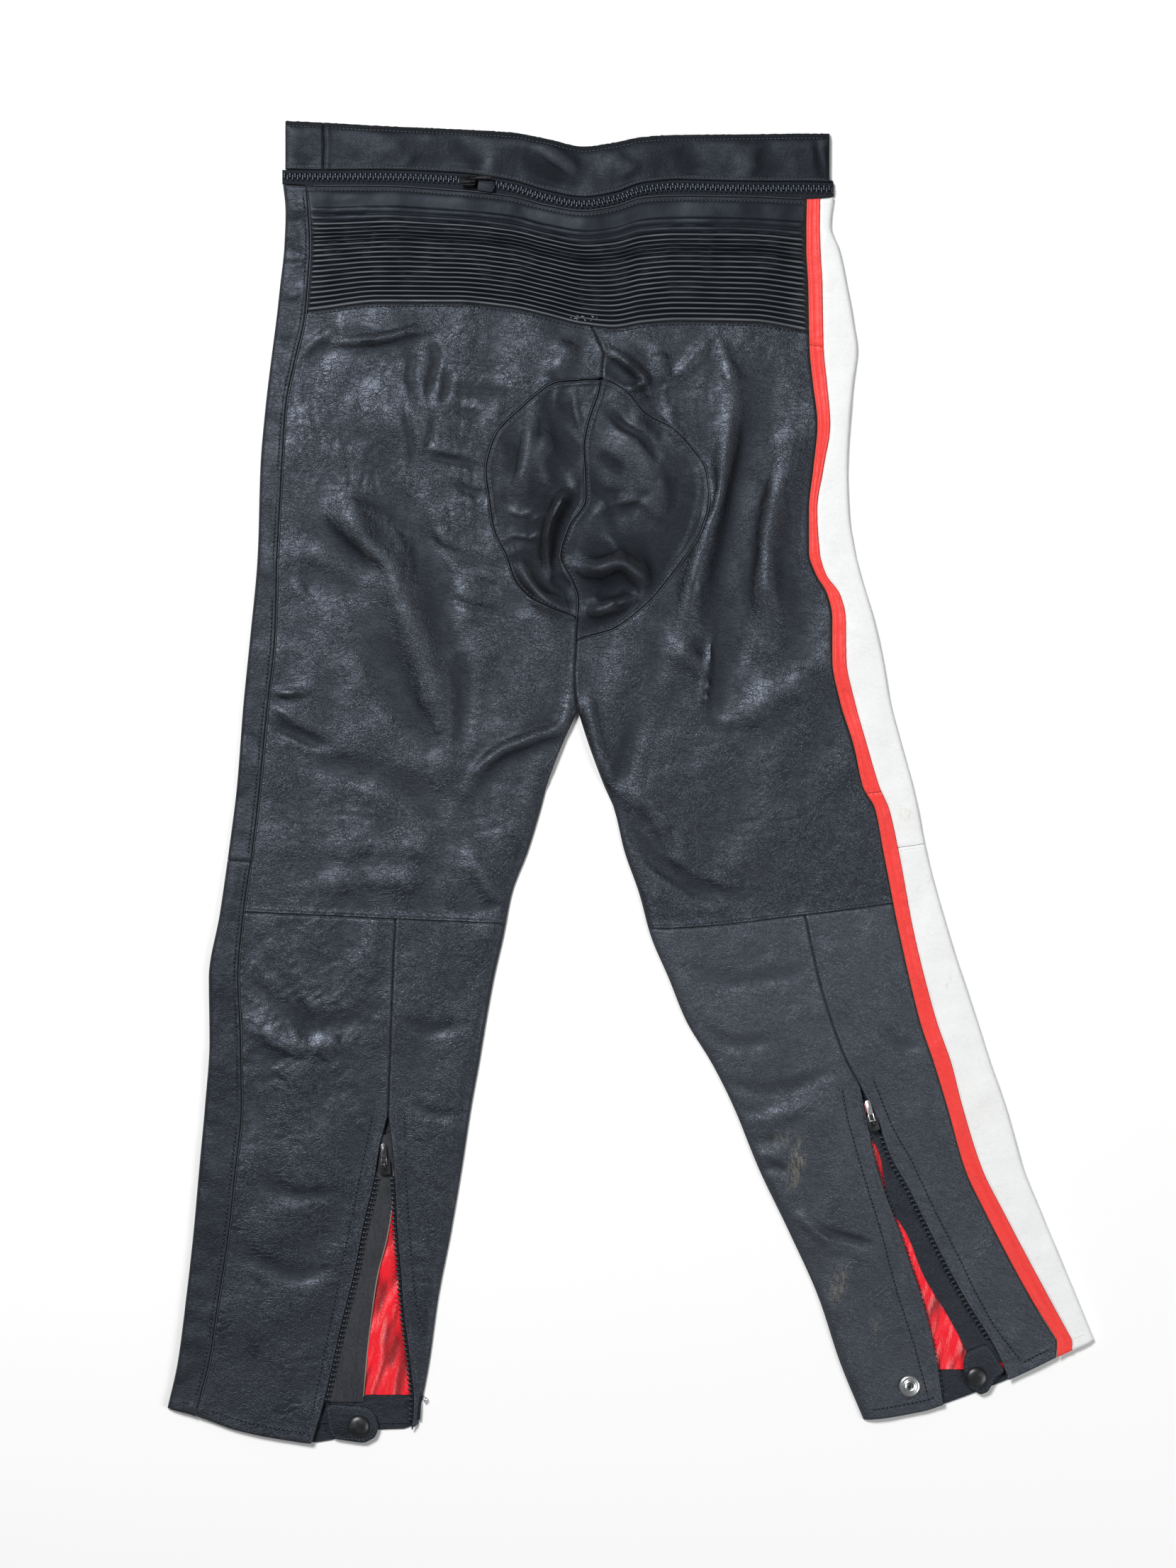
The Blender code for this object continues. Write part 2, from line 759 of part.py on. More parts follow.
def calf_pieces(black, group):
    rows = list(range(KNEE_ROW, HEM_ROW + 1))
    pieces = (
        ("calf_left_outer", LEFT_SIDE.seam, calf_left_outer, CALF_ACROSS, (1, 1, 1, 0)),
        ("calf_left_inner", calf_left_inner, INNER_LEGS.left, CALF_ACROSS_OUT,
         (1, 0, 1, 0)),
        ("calf_right_inner", INNER_LEGS.right, calf_right_inner, CALF_ACROSS,
         (0, 1, 1, 0)),
        ("calf_right_outer", calf_right_outer, RIGHT_SIDE.stripe_in, CALF_ACROSS_OUT,
         (1, 1, 1, 0)),
    )
    for name, left, right, across, gaps in pieces:
        spots = ladder_spots(left, right, rows, across, gaps)
        lay(name, spots, height, underside, black, group)


def front_pieces(black, group):
    """The hidden front, flat on the floor."""
    rows = list(range(HEM_ROW + 1))
    for name, left, right, free_side in (
        ("front_left", FRONT.left_seam, front_left_inner, -1),
        ("front_right", front_right_inner, FRONT.right_seam, 0),
    ):
        line = right if free_side == -1 else left
        spots = ladder_spots(left, right, rows, (0.0, 1.0), (1, 1, 1, 0))
        spots = free_below_crotch(spots, rows, line, free_side)
        spots[0] = [(x, front_line(x) + SEAM_GAP) for x, _ in spots[0]]
        lay(name, spots, lambda x, drop: WALL, lambda x, drop: 0.0, black, group)


STRIP_LEFT = -267.5
STRIP_JOIN = -238.0
STRIP_RIGHT = 154.0
STRIP_COLUMNS = 18
STRIP_TO_ZIP = 5.5       # from the strip's lower edge to the middle of the chain
ZIP_LEFT = -270.0
ZIP_RIGHT = 157.0
FRONT_ZIP = 11.0         # width of the zip on the hidden front
CHAIN_HALF = 3.5
CHAIN_HEIGHT = 2.6
TAPE_WALL = 1.0


END_STATIONS = even(STRIP_LEFT, STRIP_JOIN, 3)
BACK_STATIONS = even(STRIP_JOIN, STRIP_RIGHT, STRIP_COLUMNS)


def front_line(x):
    """Where the hidden front meets its zip: straight from one side to the other."""
    return blend(49.0, 57.5, (x - ZIP_LEFT) / (ZIP_RIGHT - ZIP_LEFT))


def connector_strip(black, group):
    """The strip above the waist zip, with its raw top edge, its end piece and its front."""
    half = SEAM_GAP / 2

    def strip_spots(xs, lower_edge, rows):
        return [[(x, blend(WAIST.strip_top(x), lower_edge(x), share)) for x in xs]
                for share in rows]

    def above_zip(x):
        return WAIST.zip_line(x) - STRIP_TO_ZIP

    def above_front_zip(x):
        return front_line(x) - FRONT_ZIP - SEAM_GAP

    rows = (0.0, 0.15, 0.4, 0.7, 1.0)
    back = strip_spots([STRIP_JOIN + half] + BACK_STATIONS[1:], above_zip, rows)
    lay("connector_strip_back", back, height, underside, black, group)
    end = strip_spots(END_STATIONS[:-1] + [STRIP_JOIN - half], above_zip, rows)
    lay("connector_strip_end", end, height, underside, black, group)
    front = strip_spots(END_STATIONS + BACK_STATIONS[1:], above_front_zip, (0.0, 1.0))
    lay("connector_strip_front", front, lambda x, drop: WALL, lambda x, drop: 0.0, black, group)


def tape_top(x, drop):
    """Top of the zip's tape, which lies a seam gap under the leather."""
    return max(WALL + SEAM_GAP + TAPE_WALL, height(x, drop) - WALL * 1.1 - SEAM_GAP)


def waist_zip(tape, group):
    """Tape and closed chain, level with the strip and tucked under the top of the body."""
    xs = [ZIP_LEFT] + END_STATIONS + BACK_STATIONS[1:] + [ZIP_RIGHT]

    def lower_edge(x):
        tucked = LEFT_SIDE.seam(60.0) < x < RIGHT_SIDE.stripe_out(60.0)
        return WAIST.body_top(x) + (2.5 if tucked else -1.0)

    offsets = (SEAM_GAP - STRIP_TO_ZIP, -CHAIN_HALF - 0.4, -CHAIN_HALF, CHAIN_HALF,
               CHAIN_HALF + 0.4)
    spots = [[(x, WAIST.zip_line(x) + offset) for x in xs] for offset in offsets]
    spots.append([(x, lower_edge(x)) for x in xs])

    def top(x, drop):
        on_chain = abs(drop - WAIST.zip_line(x)) < CHAIN_HALF + 0.1
        return tape_top(x, drop) + (CHAIN_HEIGHT if on_chain else 0.0)

    def under(x, drop):
        return tape_top(x, drop) - TAPE_WALL

    lay("waist_zip_back", spots, top, under, tape, group)
    front = [[(x, front_line(x) - back) for x in xs] for back in (FRONT_ZIP, 0.0)]
    lay("waist_zip_front", front, lambda x, drop: WALL, lambda x, drop: 0.0, tape, group)


# Ankle openings

GUSSET_TOP = 4.2
TOOTH_TOP = 6.9
TAPE_UNDER = 4.5
LEFT_ZIP_START = 818.0
LEFT_ZIP_END = 992.0
RIGHT_ZIP_START = 786.0
RIGHT_INNER_ZIP_END = 985.0
RIGHT_OUTER_ZIP_END = 945.0


def level_wall(name, left, right, drops, under, wall, finish, group, columns=3):
    """A level strip of cloth between two lines."""
    spots = []
    for drop in drops:
        spots.append([(x, drop) for x in even(left(drop), right(drop), columns - 1)])
    return lay(name, spots, lambda x, drop: under + wall, lambda x, drop: under, finish, group)


HALF_CHAIN = ((0.3, 0.0), (2.6, 0.0), (2.8, 1.0), (5.6, 1.0))


def half_chain(name, line, other, start, end, finish, group):
    """One half of an open zip: its tape, then its row of teeth, beside the leather's edge.

    Where the opening is narrow, the half is drawn in so that the two stay apart.
    """
    outer, inner = [], []
    for drop in even(start, end, 14):
        opening = other(drop) - line(drop)
        side = math.copysign(1.0, opening)
        lean = math.hypot(1, slope(line, drop))
        share = min(1.0, (abs(opening) / 2 - SEAM_GAP) / (HALF_CHAIN[-1][0] * lean))
        xs = [line(drop) + side * offset * lean * share for offset, _ in HALF_CHAIN]
        outer.append([
            place(x, drop, blend(TAPE_UNDER + TAPE_WALL, TOOTH_TOP, tooth))
            for x, (_, tooth) in zip(xs, HALF_CHAIN)
        ])
        inner.append([place(x, drop, TAPE_UNDER) for x in xs])
    return wall_object(name, outer, inner, finish, group)


def ankle_zips(tape, group):
    half_chain("zip_left_outer", calf_left_outer, calf_left_inner,
               LEFT_ZIP_START, LEFT_ZIP_END, tape, group)
    half_chain("zip_left_inner", calf_left_inner, calf_left_outer,
               LEFT_ZIP_START, LEFT_ZIP_END + 15, tape, group)
    half_chain("zip_right_inner", calf_right_inner, calf_right_outer,
               RIGHT_ZIP_START, RIGHT_INNER_ZIP_END, tape, group)
    half_chain("zip_right_outer", calf_right_outer, calf_right_inner,
               RIGHT_ZIP_START, RIGHT_OUTER_ZIP_END, tape, group)


def ankle_layers(grey, satin, black, group):
    """What shows in the open ankles: gusset flap, satin lining and the facing of the hem."""
    tuck = 5.0
    gusset_under = GUSSET_TOP - 1.2
    lining_under = WALL + SEAM_GAP
    level_wall(
        "gusset_left", lambda d: calf_left_outer(d) - tuck, FLAPS.left_free,
        even(786.0, 993.0, 9), gusset_under, 1.2, grey, group)
    level_wall(
        "gusset_right", FLAPS.right_free, lambda d: calf_right_outer(d) + tuck,
        even(770.0, 962.0, 9), gusset_under, 1.2, black, group)
    level_wall(
        "lining_left", lambda d: calf_left_outer(d) - tuck,
        lambda d: calf_left_inner(d) + 3.0,
        even(790.0, 987.7, 8), lining_under, LINING_WALL, satin, group)
    level_wall(
        "hem_facing_left", lambda d: calf_left_outer(d) - tuck,
        lambda d: calf_left_inner(d) + 3.0,
        (988.0, 998.0, 1010.0), lining_under, LINING_WALL, black, group)
    level_wall(
        "lining_right", lambda d: calf_right_inner(d) - tuck,
        lambda d: calf_right_outer(d) + tuck,
        even(762.0, 968.0, 8), lining_under, LINING_WALL, satin, group)


# Tabs, snaps and hardware

TAB_UNDER = 4.6
TAB_LEFT = ((-237, 994.5), (-203, 997), (-197.5, 1003), (-195, 1013), (-198, 1020.5),
            (-206.5, 1025), (-233, 1021))
TAB_RIGHT = ((259, 955), (275, 948), (280, 953), (290, 969), (283, 974), (277, 985),
             (271, 987.5), (261, 981), (257.5, 965))


def flat_plate(name, outline, under, wall, finish, group):
    """A plate cut to an outline: a filled flat curve given its thickness, then made a mesh."""
    line = bpy.data.curves.new(name + "_outline", "CURVE")
    line.dimensions = "2D"
    line.fill_mode = "BOTH"
    line.extrude = wall / 2 * MILLIMETRE
    spline = line.splines.new("POLY")
    spline.points.add(len(outline) - 1)
    for point, (x, drop) in zip(spline.points, outline):
        spot = place(x, drop, 0)
        point.co = (spot.x, spot.y, 0, 1)
    spline.use_cyclic_u = True
    holder = bpy.data.objects.new(name + "_outline", line)
    bpy.context.scene.collection.objects.link(holder)
    bpy.context.view_layer.update()
    graph = bpy.context.evaluated_depsgraph_get()
    mesh = bpy.data.meshes.new_from_object(holder.evaluated_get(graph))
    mesh.name = name
    bpy.data.objects.remove(holder, do_unlink=True)
    work = bmesh.new()
    work.from_mesh(mesh)
    bmesh.ops.remove_doubles(work, verts=work.verts[:], dist=1e-6)
    bmesh.ops.recalc_face_normals(work, faces=work.faces[:])
    bmesh.ops.translate(work, verts=work.verts[:], vec=(0, 0, (under + wall / 2) * MILLIMETRE))
    work.to_mesh(mesh)
    work.free()
    mesh.materials.clear()
    return add_object(name, mesh, finish, group)


def turned(name, profile, spot, finish, group, tilt=(0.0, 0.0, 0.0)):
    """A turned piece: its profile runs down the outer side, top to bottom."""
    mesh = bpy.data.meshes.new(name)
    work = bmesh.new()
    points = [work.verts.new((r * MILLIMETRE, 0, z * MILLIMETRE)) for r, z in profile]
    for above, below in zip(points, points[1:]):
        work.edges.new((above, below))
    work.to_mesh(mesh)
    work.free()
    made = add_object(name, mesh, finish, group)
    made.location = spot
    made.rotation_euler = tilt
    screw = made.modifiers.new("Turn", "SCREW")
    screw.axis = "Z"
    screw.steps = SNAP_STEPS
    screw.render_steps = SNAP_STEPS
    screw.use_merge_vertices = True
    screw.merge_threshold = TURN_MERGE
    screw.use_smooth_shade = True
    return made


CAP_PROFILE = ((0, 3.0), (4.5, 2.8), (7.2, 2.0), (8.4, 0.9), (8.4, 0.0), (0, 0.0))
RING_PROFILE = ((0, 0.7), (2.4, 0.7), (2.8, 2.2), (4.2, 2.2), (4.8, 1.2), (7.4, 1.2),
                (8.2, 0.6), (8.2, 0.0), (0, 0.0))
STUD_PROFILE = ((0, 2.6), (1.6, 2.6), (1.9, 1.6), (1.3, 1.0), (2.8, 0.8), (2.8, 0.0), (0, 0.0))


def tabs_and_snaps(black, dark_metal, silver, group):
    flat_plate("tab_left", TAB_LEFT, TAB_UNDER, WALL, black, group)
    flat_plate("tab_right", TAB_RIGHT, TAB_UNDER, WALL, black, group)
    on_tab = TAB_UNDER + WALL + SEAM_GAP
    turned("snap_cap_left", CAP_PROFILE, place(-210.5, 1011.5, on_tab), dark_metal, group)
    turned("snap_cap_right", CAP_PROFILE, place(268.0, 974.0, on_tab), dark_metal, group)
    ring_x, ring_drop = 216.0, 980.5
    reach = 8.0
    highest = max(
        height(ring_x + reach * math.cos(turn), ring_drop + reach * math.sin(turn))
        for turn in (step * math.pi / 6 for step in range(12))
    )
    turned("snap_ring_right", RING_PROFILE,
           place(ring_x, ring_drop, max(highest, height(ring_x, ring_drop)) + SEAM_GAP),
           silver, group)
    stud_drop = 991.0
    stud_x = INNER_LEGS.left(stud_drop - 4.0) + SEAM_GAP
    turned("snap_stud_left", STUD_PROFILE, place(stud_x, stud_drop, 3.2), silver, group,
           (0.0, math.radians(90), 0.0))


def block(size, centre, name, group):
    """A plain block, in millimetres, for use alone or as an operand of a Boolean."""
    mesh = bpy.data.meshes.new(name)
    work = bmesh.new()
    scale = Matrix.Diagonal((*(Vector(size) * MILLIMETRE), 1.0))
    shift = Matrix.Translation(Vector(centre) * MILLIMETRE)
    bmesh.ops.create_cube(work, size=1.0, matrix=shift @ scale)
    work.to_mesh(mesh)
    work.free()
    made = bpy.data.objects.new(name, mesh)
    group.objects.link(made)
    return made


def rod(radius, length, centre, name, group):
    """A plain rod along x."""
    mesh = bpy.data.meshes.new(name)
    work = bmesh.new()
    turn = Matrix.Rotation(math.radians(90), 4, "Y")
    shift = Matrix.Translation(Vector(centre) * MILLIMETRE)
    bmesh.ops.create_cone(
        work, cap_ends=True, segments=10, radius1=radius * MILLIMETRE,
        radius2=radius * MILLIMETRE, depth=length * MILLIMETRE, matrix=shift @ turn)
    work.to_mesh(mesh)
    work.free()
    made = bpy.data.objects.new(name, mesh)
    group.objects.link(made)
    return made


def join_with(target, other, operation):
    """A live Boolean. The operand is a guide that the model leaves out."""
    other.parent = target
    other.hide_render = True
    other.display_type = "WIRE"
    change = target.modifiers.new(operation.title(), "BOOLEAN")
    change.operation = operation
    change.object = other


AXIS_ABOVE_PLATE = 1.4   # middle of the bridge's eye above the slider's upper plate
BODY_HEIGHT = 2 * SLIDER_PLATE + SLIDER_THROAT


def slider(name, spot, turn, finish, group, guides):
    """A zip slider: two plates, the neck between them, and a bridge with an eye.

    Its middle is at the foot of its lower plate, and its front, where the neck is, is at +y.
    """
    made = block((SLIDER_WIDTH, SLIDER_LENGTH, SLIDER_PLATE), (0, 0, SLIDER_PLATE / 2),
                 name, group)
    made.data.materials.append(finish)
    upper = SLIDER_PLATE + SLIDER_THROAT
    parts = (
        block((SLIDER_WIDTH, SLIDER_LENGTH, SLIDER_PLATE),
              (0, 0, upper + SLIDER_PLATE / 2), name + "_plate", guides),
        block((3.0, 5.0, SLIDER_THROAT + SLIDER_PLATE),
              (0, SLIDER_LENGTH / 2 - 2.6, SLIDER_PLATE + SLIDER_THROAT / 2),
              name + "_neck", guides),
        block((BRIDGE_WIDTH, BRIDGE_LENGTH, BRIDGE_HEIGHT),
              (0, BRIDGE_FORWARD, BODY_HEIGHT + BRIDGE_HEIGHT / 2 - 0.4),
              name + "_bridge", guides),
    )
    for part in parts:
        join_with(made, part, "UNION")
    eye = rod(EYE_RADIUS, 4.0, (0, EYE_FORWARD, BODY_HEIGHT + AXIS_ABOVE_PLATE),
              name + "_eye", guides)
    join_with(made, eye, "DIFFERENCE")
    made.location = spot
    made.rotation_euler = turn
    return made


def pull(name, slider_object, finish, group, guides, droop=PULL_DROOP):
    """A pull tab: a plate whose window passes over the bridge, turning on a bar in its eye."""
    bar = rod(PULL_BAR_RADIUS, PULL_WIDTH, (0, 0, 0), name, group)
    bar.data.materials.append(finish)
    start = -PULL_BAR_RADIUS * 0.6
    plate = block((PULL_WIDTH, PULL_LENGTH, PULL_THICKNESS),
                  (0, start + PULL_LENGTH / 2, 0), name + "_plate", guides)
    join_with(bar, plate, "UNION")
    window_from = PULL_BAR_RADIUS
    window = block((PULL_WINDOW_WIDTH, PULL_WINDOW_LENGTH - window_from, 3.0),
                   (0, (window_from + PULL_WINDOW_LENGTH) / 2, 0), name + "_window", guides)
    join_with(bar, window, "DIFFERENCE")
    behind = block((PULL_WINDOW_WIDTH, 2.0, 3.0), (0, -PULL_BAR_RADIUS - 1.0, 0),
                   name + "_behind", guides)
    join_with(bar, behind, "DIFFERENCE")
    turn = slider_object.rotation_euler.to_matrix()
    eye = Vector((0, EYE_FORWARD, BODY_HEIGHT + AXIS_ABOVE_PLATE)) * MILLIMETRE
    bar.location = slider_object.location + turn @ eye
    bar.rotation_euler = (turn @ Matrix.Rotation(-droop, 3, "X")).to_euler()
    return bar


def hardware(dark_metal, silver, group, guides):
    """The three sliders with their pulls, and the box where the waist zip starts."""
    left = slider("zip_left_slider", place(-190.3, 810.5, TAPE_UNDER + 0.1),
                  (0, 0, math.radians(4)), dark_metal, group, guides)
    pull("zip_left_pull", left, dark_metal, group, guides)
    perch = 1.0 + max(
        height(187.5 + x, 776.5 + drop) for x in (-5, 0, 5) for drop in (-7, -3, 0, 3, 7))
    right = slider("zip_right_slider", place(187.5, 776.5, perch - 0.5),
                   (0, 0, math.radians(15)), silver, group, guides)
    pull("zip_right_pull", right, silver, group, guides)
    roll = math.radians(55)
    perch = tape_top(-126.0, 48.0) + CHAIN_HEIGHT + SEAM_GAP
    rolled = Matrix.Rotation(-roll, 3, "X") @ Matrix.Rotation(math.radians(-90), 3, "Z")
    waist = slider(
        "waist_zip_slider", place(-126.0, 49.5, perch + SLIDER_WIDTH / 2 * math.sin(roll)),
        rolled.to_euler(), dark_metal, group, guides)
    pull("waist_zip_pull", waist, dark_metal, group, guides, 0.0)
    box_height = 3.4
    box = block((12.5, 8.6, box_height), (0, 0, box_height / 2), "waist_zip_box", group)
    box.data.materials.append(dark_metal)
    bevel = box.modifiers.new("Round", "BEVEL")
    bevel.width = 0.8 * MILLIMETRE
    bevel.segments = 2
    box.location = place(-112.0, 51.6, perch)
    box.rotation_euler = (0, 0, math.radians(-8))


def main():
    clear_scene()
    group = collection("motorcycle_trousers")
    guides = collection("guides")
    black = material("black leather", (0.030, 0.034, 0.040), 0.48)
    white = material("white leather", (0.80, 0.81, 0.82), 0.55)
    red = material("red leather", (0.72, 0.030, 0.020), 0.45)
    stretch = material("black stretch leather", (0.022, 0.026, 0.034), 0.50)
    tape = material("zip tape and teeth", (0.012, 0.014, 0.020), 0.60)
    grey = material("grey gusset cloth", (0.10, 0.10, 0.11), 0.80)
    satin = material("red satin lining", (0.42, 0.010, 0.022), 0.35)
    dark_metal = material("dark metal", (0.05, 0.05, 0.055), 0.35, 0.9)
    silver = material("bright metal", (0.75, 0.76, 0.78), 0.25, 1.0)

    front_pieces(black, group)
    connector_strip(black, group)
    waist_zip(tape, group)
    stretch_panel(stretch, group)
    back_pieces(black, group)
    seat_patches(black, group)
    side_panels(black, white, group)
    red_stripes(red, group)
    calf_pieces(black, group)
    ankle_zips(tape, group)
    ankle_layers(grey, satin, black, group)
    tabs_and_snaps(black, dark_metal, silver, group)
    hardware(dark_metal, silver, group, guides)


main()
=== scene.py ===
# %% [markdown]
# # Leather motorcycle pants, laid flat with the back up
#
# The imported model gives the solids. This script lays fine leather over them: every panel is a thin
# sheet with its seams, folds and wrinkles, then come the sewing, the zips and the metal pieces.
# It is written in cells, so that it can be read and run one step at a time.

import json
import math

import bpy
import numpy as np
from mathutils import Matrix, Vector


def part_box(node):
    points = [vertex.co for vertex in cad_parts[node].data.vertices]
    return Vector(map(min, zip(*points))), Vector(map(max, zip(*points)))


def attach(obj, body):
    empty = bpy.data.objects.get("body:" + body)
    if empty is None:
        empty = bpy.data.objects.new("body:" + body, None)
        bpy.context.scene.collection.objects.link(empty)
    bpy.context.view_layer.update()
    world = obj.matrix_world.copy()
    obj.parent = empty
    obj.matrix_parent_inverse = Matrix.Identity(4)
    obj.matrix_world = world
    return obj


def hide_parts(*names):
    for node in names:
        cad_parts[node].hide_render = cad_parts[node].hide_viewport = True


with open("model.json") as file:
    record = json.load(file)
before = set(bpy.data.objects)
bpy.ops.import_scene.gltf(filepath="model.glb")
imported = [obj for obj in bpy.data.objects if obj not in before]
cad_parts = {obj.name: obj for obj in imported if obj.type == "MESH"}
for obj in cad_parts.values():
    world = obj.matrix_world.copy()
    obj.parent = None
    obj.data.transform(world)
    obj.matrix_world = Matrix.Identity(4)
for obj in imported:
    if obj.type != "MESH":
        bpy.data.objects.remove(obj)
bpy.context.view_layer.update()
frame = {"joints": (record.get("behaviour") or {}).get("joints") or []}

# %% [markdown]
# ## Camera
#
# The garment was photographed from straight above. One pixel of the picture is 0.55 mm on the
# leather, so the camera looks down at a rectangle of that size, and the lens follows from its height.
# The picture has a clean white floor and a strong red, which the Standard view keeps as they are.

# %% Camera
MM = 0.001
PHOTO_WIDTH = 1659
PHOTO_HEIGHT = 2212
PIXEL = 0.55             # millimetres of leather for each pixel
MIDDLE_COLUMN = 889.5    # the pixel column of x = 0
TOP_ROW = 171            # the pixel row of the top of the garment
LENGTH = 1026.0          # millimetres, from the connector strip to the lowest hem
CAMERA_HEIGHT = 3.4

camera_data = bpy.data.cameras.new("camera")
camera = bpy.data.objects.new("camera", camera_data)
bpy.context.scene.collection.objects.link(camera)
bpy.context.scene.camera = camera
camera.location = (
    (PHOTO_WIDTH / 2 - MIDDLE_COLUMN) * PIXEL * MM,
    (LENGTH / 2 - (PHOTO_HEIGHT / 2 - TOP_ROW) * PIXEL) * MM,
    CAMERA_HEIGHT,
)
camera_data.sensor_fit = "VERTICAL"
camera_data.sensor_height = 36.0
camera_data.lens = 36.0 * CAMERA_HEIGHT / (PHOTO_HEIGHT * PIXEL * MM)
bpy.context.scene.view_settings.view_transform = "Standard"
print("lens", round(camera_data.lens, 1), "mm")

# %% [markdown]
# ## Floor and light
#
# The picture has a white floor and soft studio light. The wrinkles are bright on their upper left
# sides, so a large soft box hangs high on that side, with a weaker one across from it. Both stand
# near enough to the camera's line that a slope of a few degrees already catches or loses them.


# %% Floor and light
def soft_box(name, place, aim, size, power):
    """An area light that faces a point."""
    data = bpy.data.lights.new(name, "AREA")
    data.shape = "SQUARE"
    data.size = size
    data.energy = power
    box = bpy.data.objects.new(name, data)
    bpy.context.scene.collection.objects.link(box)
    box.location = place
    box.rotation_euler = (Vector(aim) - Vector(place)).to_track_quat("-Z", "Y").to_euler()
    return box


soft_box("key light", (-1.1, 1.2, 2.7), (0, 0.0, 0), 0.85, 103)
soft_box("fill light", (1.9, -1.0, 2.0), (0, 0, 0), 1.2, 30)

world = bpy.data.worlds.new("studio")
bpy.context.scene.world = world
world.use_nodes = True
world.node_tree.nodes["Background"].inputs["Color"].default_value = (0.95, 0.98, 1.0, 1)
world.node_tree.nodes["Background"].inputs["Strength"].default_value = 0.14

bpy.ops.mesh.primitive_plane_add(size=8.0, location=(0, 0, 0))
floor = bpy.context.object
floor.name = "floor"
floor_finish = bpy.data.materials.new("floor paper")
floor_finish.use_nodes = True
floor_shader = floor_finish.node_tree.nodes["Principled BSDF"]
floor_shader.inputs["Base Color"].default_value = (0.87, 0.87, 0.865, 1)
floor_shader.inputs["Roughness"].default_value = 0.8
floor.data.materials.append(floor_finish)

# %% [markdown]
# ## Pattern pieces
#
# A cutter's pattern is a set of lines. Here each line is a short table of measured places, in
# millimetres, with a smooth curve between them: x runs to the right of the middle of the garment,
# and drop runs down it from the top of the connector strip. The same tables shape the solids.


# %% Smooth curves through short tables
class Table:
    """Rows of numbers under named columns. Each column is a smooth curve over the first one."""

    def __init__(self, columns, *rows):
        values = np.array(rows, float)
        for place, name in enumerate(columns.split()[1:], start=1):
            setattr(self, name, smooth_curve(values[:, 0], values[:, place]))


def smooth_curve(xs, ys):
    """A curve through points that never overshoots them, held level past its ends."""
    chords = np.diff(ys) / np.diff(xs)
    before, after = chords[:-1], chords[1:]
    same_way = before * after > 0
    total = np.where(same_way, before + after, 1.0)
    inner = np.where(same_way, 2 * before * after / total, 0.0)
    slopes = np.concatenate(([chords[0]], inner, [chords[-1]]))

    def value(x):
        x = np.clip(np.asarray(x, float), xs[0], xs[-1])
        i = np.clip(np.searchsorted(xs, x, side="right") - 1, 0, len(xs) - 2)
        span = xs[i + 1] - xs[i]
        t = (x - xs[i]) / span
        return (
            ys[i] * (1 + 2 * t) * (1 - t) ** 2
            + slopes[i] * span * t * (1 - t) ** 2
            + ys[i + 1] * t * t * (3 - 2 * t)
            + slopes[i + 1] * span * t * t * (t - 1)
        )

    return value


# %% Lines across the garment
WAIST = Table(
    "x  strip_top  zip_line  body_top  rib_edge",
    (-270, 0, 43.5, 50, 151), (-238, 1.5, 44, 51.5, 147), (-194, 4, 44, 51.5, 142),
    (-137, 6.5, 46, 55, 142), (-93, 9, 52, 59.5, 146), (-65, 14, 60, 66.5, 152), (-36, 20, 65, 71, 159),
    (-13, 17, 61.5, 67.5, 161.5), (10, 12.5, 54, 60.5, 158), (36, 11, 51.5, 59, 156),
    (94, 10.5, 53, 60, 157), (136, 10, 53, 61.5, 164), (158, 10, 53.5, 60, 168),
)
LEGS_ACROSS = Table(
    "x  knee",
    (-320, 612.5), (-182, 619), (-60, 624), (20, 626.5), (135, 616), (250, 600),
)
HEMS = Table(
    "x  hem",
    (-359, 998), (-336, 1004), (-305, 1015), (-265, 1023), (-248, 1025), (-196, 1015), (-171, 1014),
    (-163, 1010), (180, 1007), (226, 1000.5), (243, 995), (296, 974.5), (334, 956.5), (359, 945.5),
)

# %% Lines down the garment
LEFT_SIDE = Table(
    "drop  edge  seam",
    (45, -270, -252), (71, -267.5, -249.5), (98, -268.5, -248.5), (126, -271.5, -250),
    (153, -274.5, -252.5), (184, -278.5, -259.5), (222, -283, -267), (269, -287, -270),
    (335, -289, -273.5), (401, -295, -275.5), (456, -300.5, -281.5), (514, -305, -287),
    (566, -311.5, -293), (615, -318.5, -300), (665, -327, -304), (714, -326.5, -302), (764, -330, -301.5),
    (813, -334.5, -306), (863, -339, -311.5), (912, -344.5, -319), (962, -351, -326.5), (998, -359, -336),
)
SEAT = Table(
    "drop  patch_left  centre  patch_right",
    (160, -30, -30, -30), (184, -21, -21, -21), (200, -22.5, -22.5, -22.5), (203, -57, -23, -14),
    (212, -72, -25, -1), (226, -88, -30, 11), (240, -102, -34, 34), (254, -108.5, -36, 47.5),
    (271, -112, -35, 58), (293, -109.5, -34.5, 60.5), (316, -106, -48, 55), (338, -96, -54, 42),
    (357, -89.5, -45, 28), (370, -78, -40.5, 17.5), (378, -62.5, -40.5, 9), (387, -41, -41, -2),
    (394, -41.5, -41.5, -13), (404, -42, -42, -42), (434, -43, -43, -43), (459, -41, -41, -41),
)
INNER_LEGS = Table(
    "drop  left  right",
    (459, -41.5, -40.5), (484, -53, -32.5), (516, -65, -20.5), (533, -69.5, -13), (566, -79.5, -5),
    (599, -92, 6.5), (632, -98.5, 15.5), (665, -106, 29.5), (698, -112, 43), (731, -117.5, 63),
    (764, -123.5, 79.5), (813, -131, 99.5), (863, -139.5, 123.5), (912, -149, 145.5), (962, -156, 162),
    (1007, -164.5, 180.5),
)
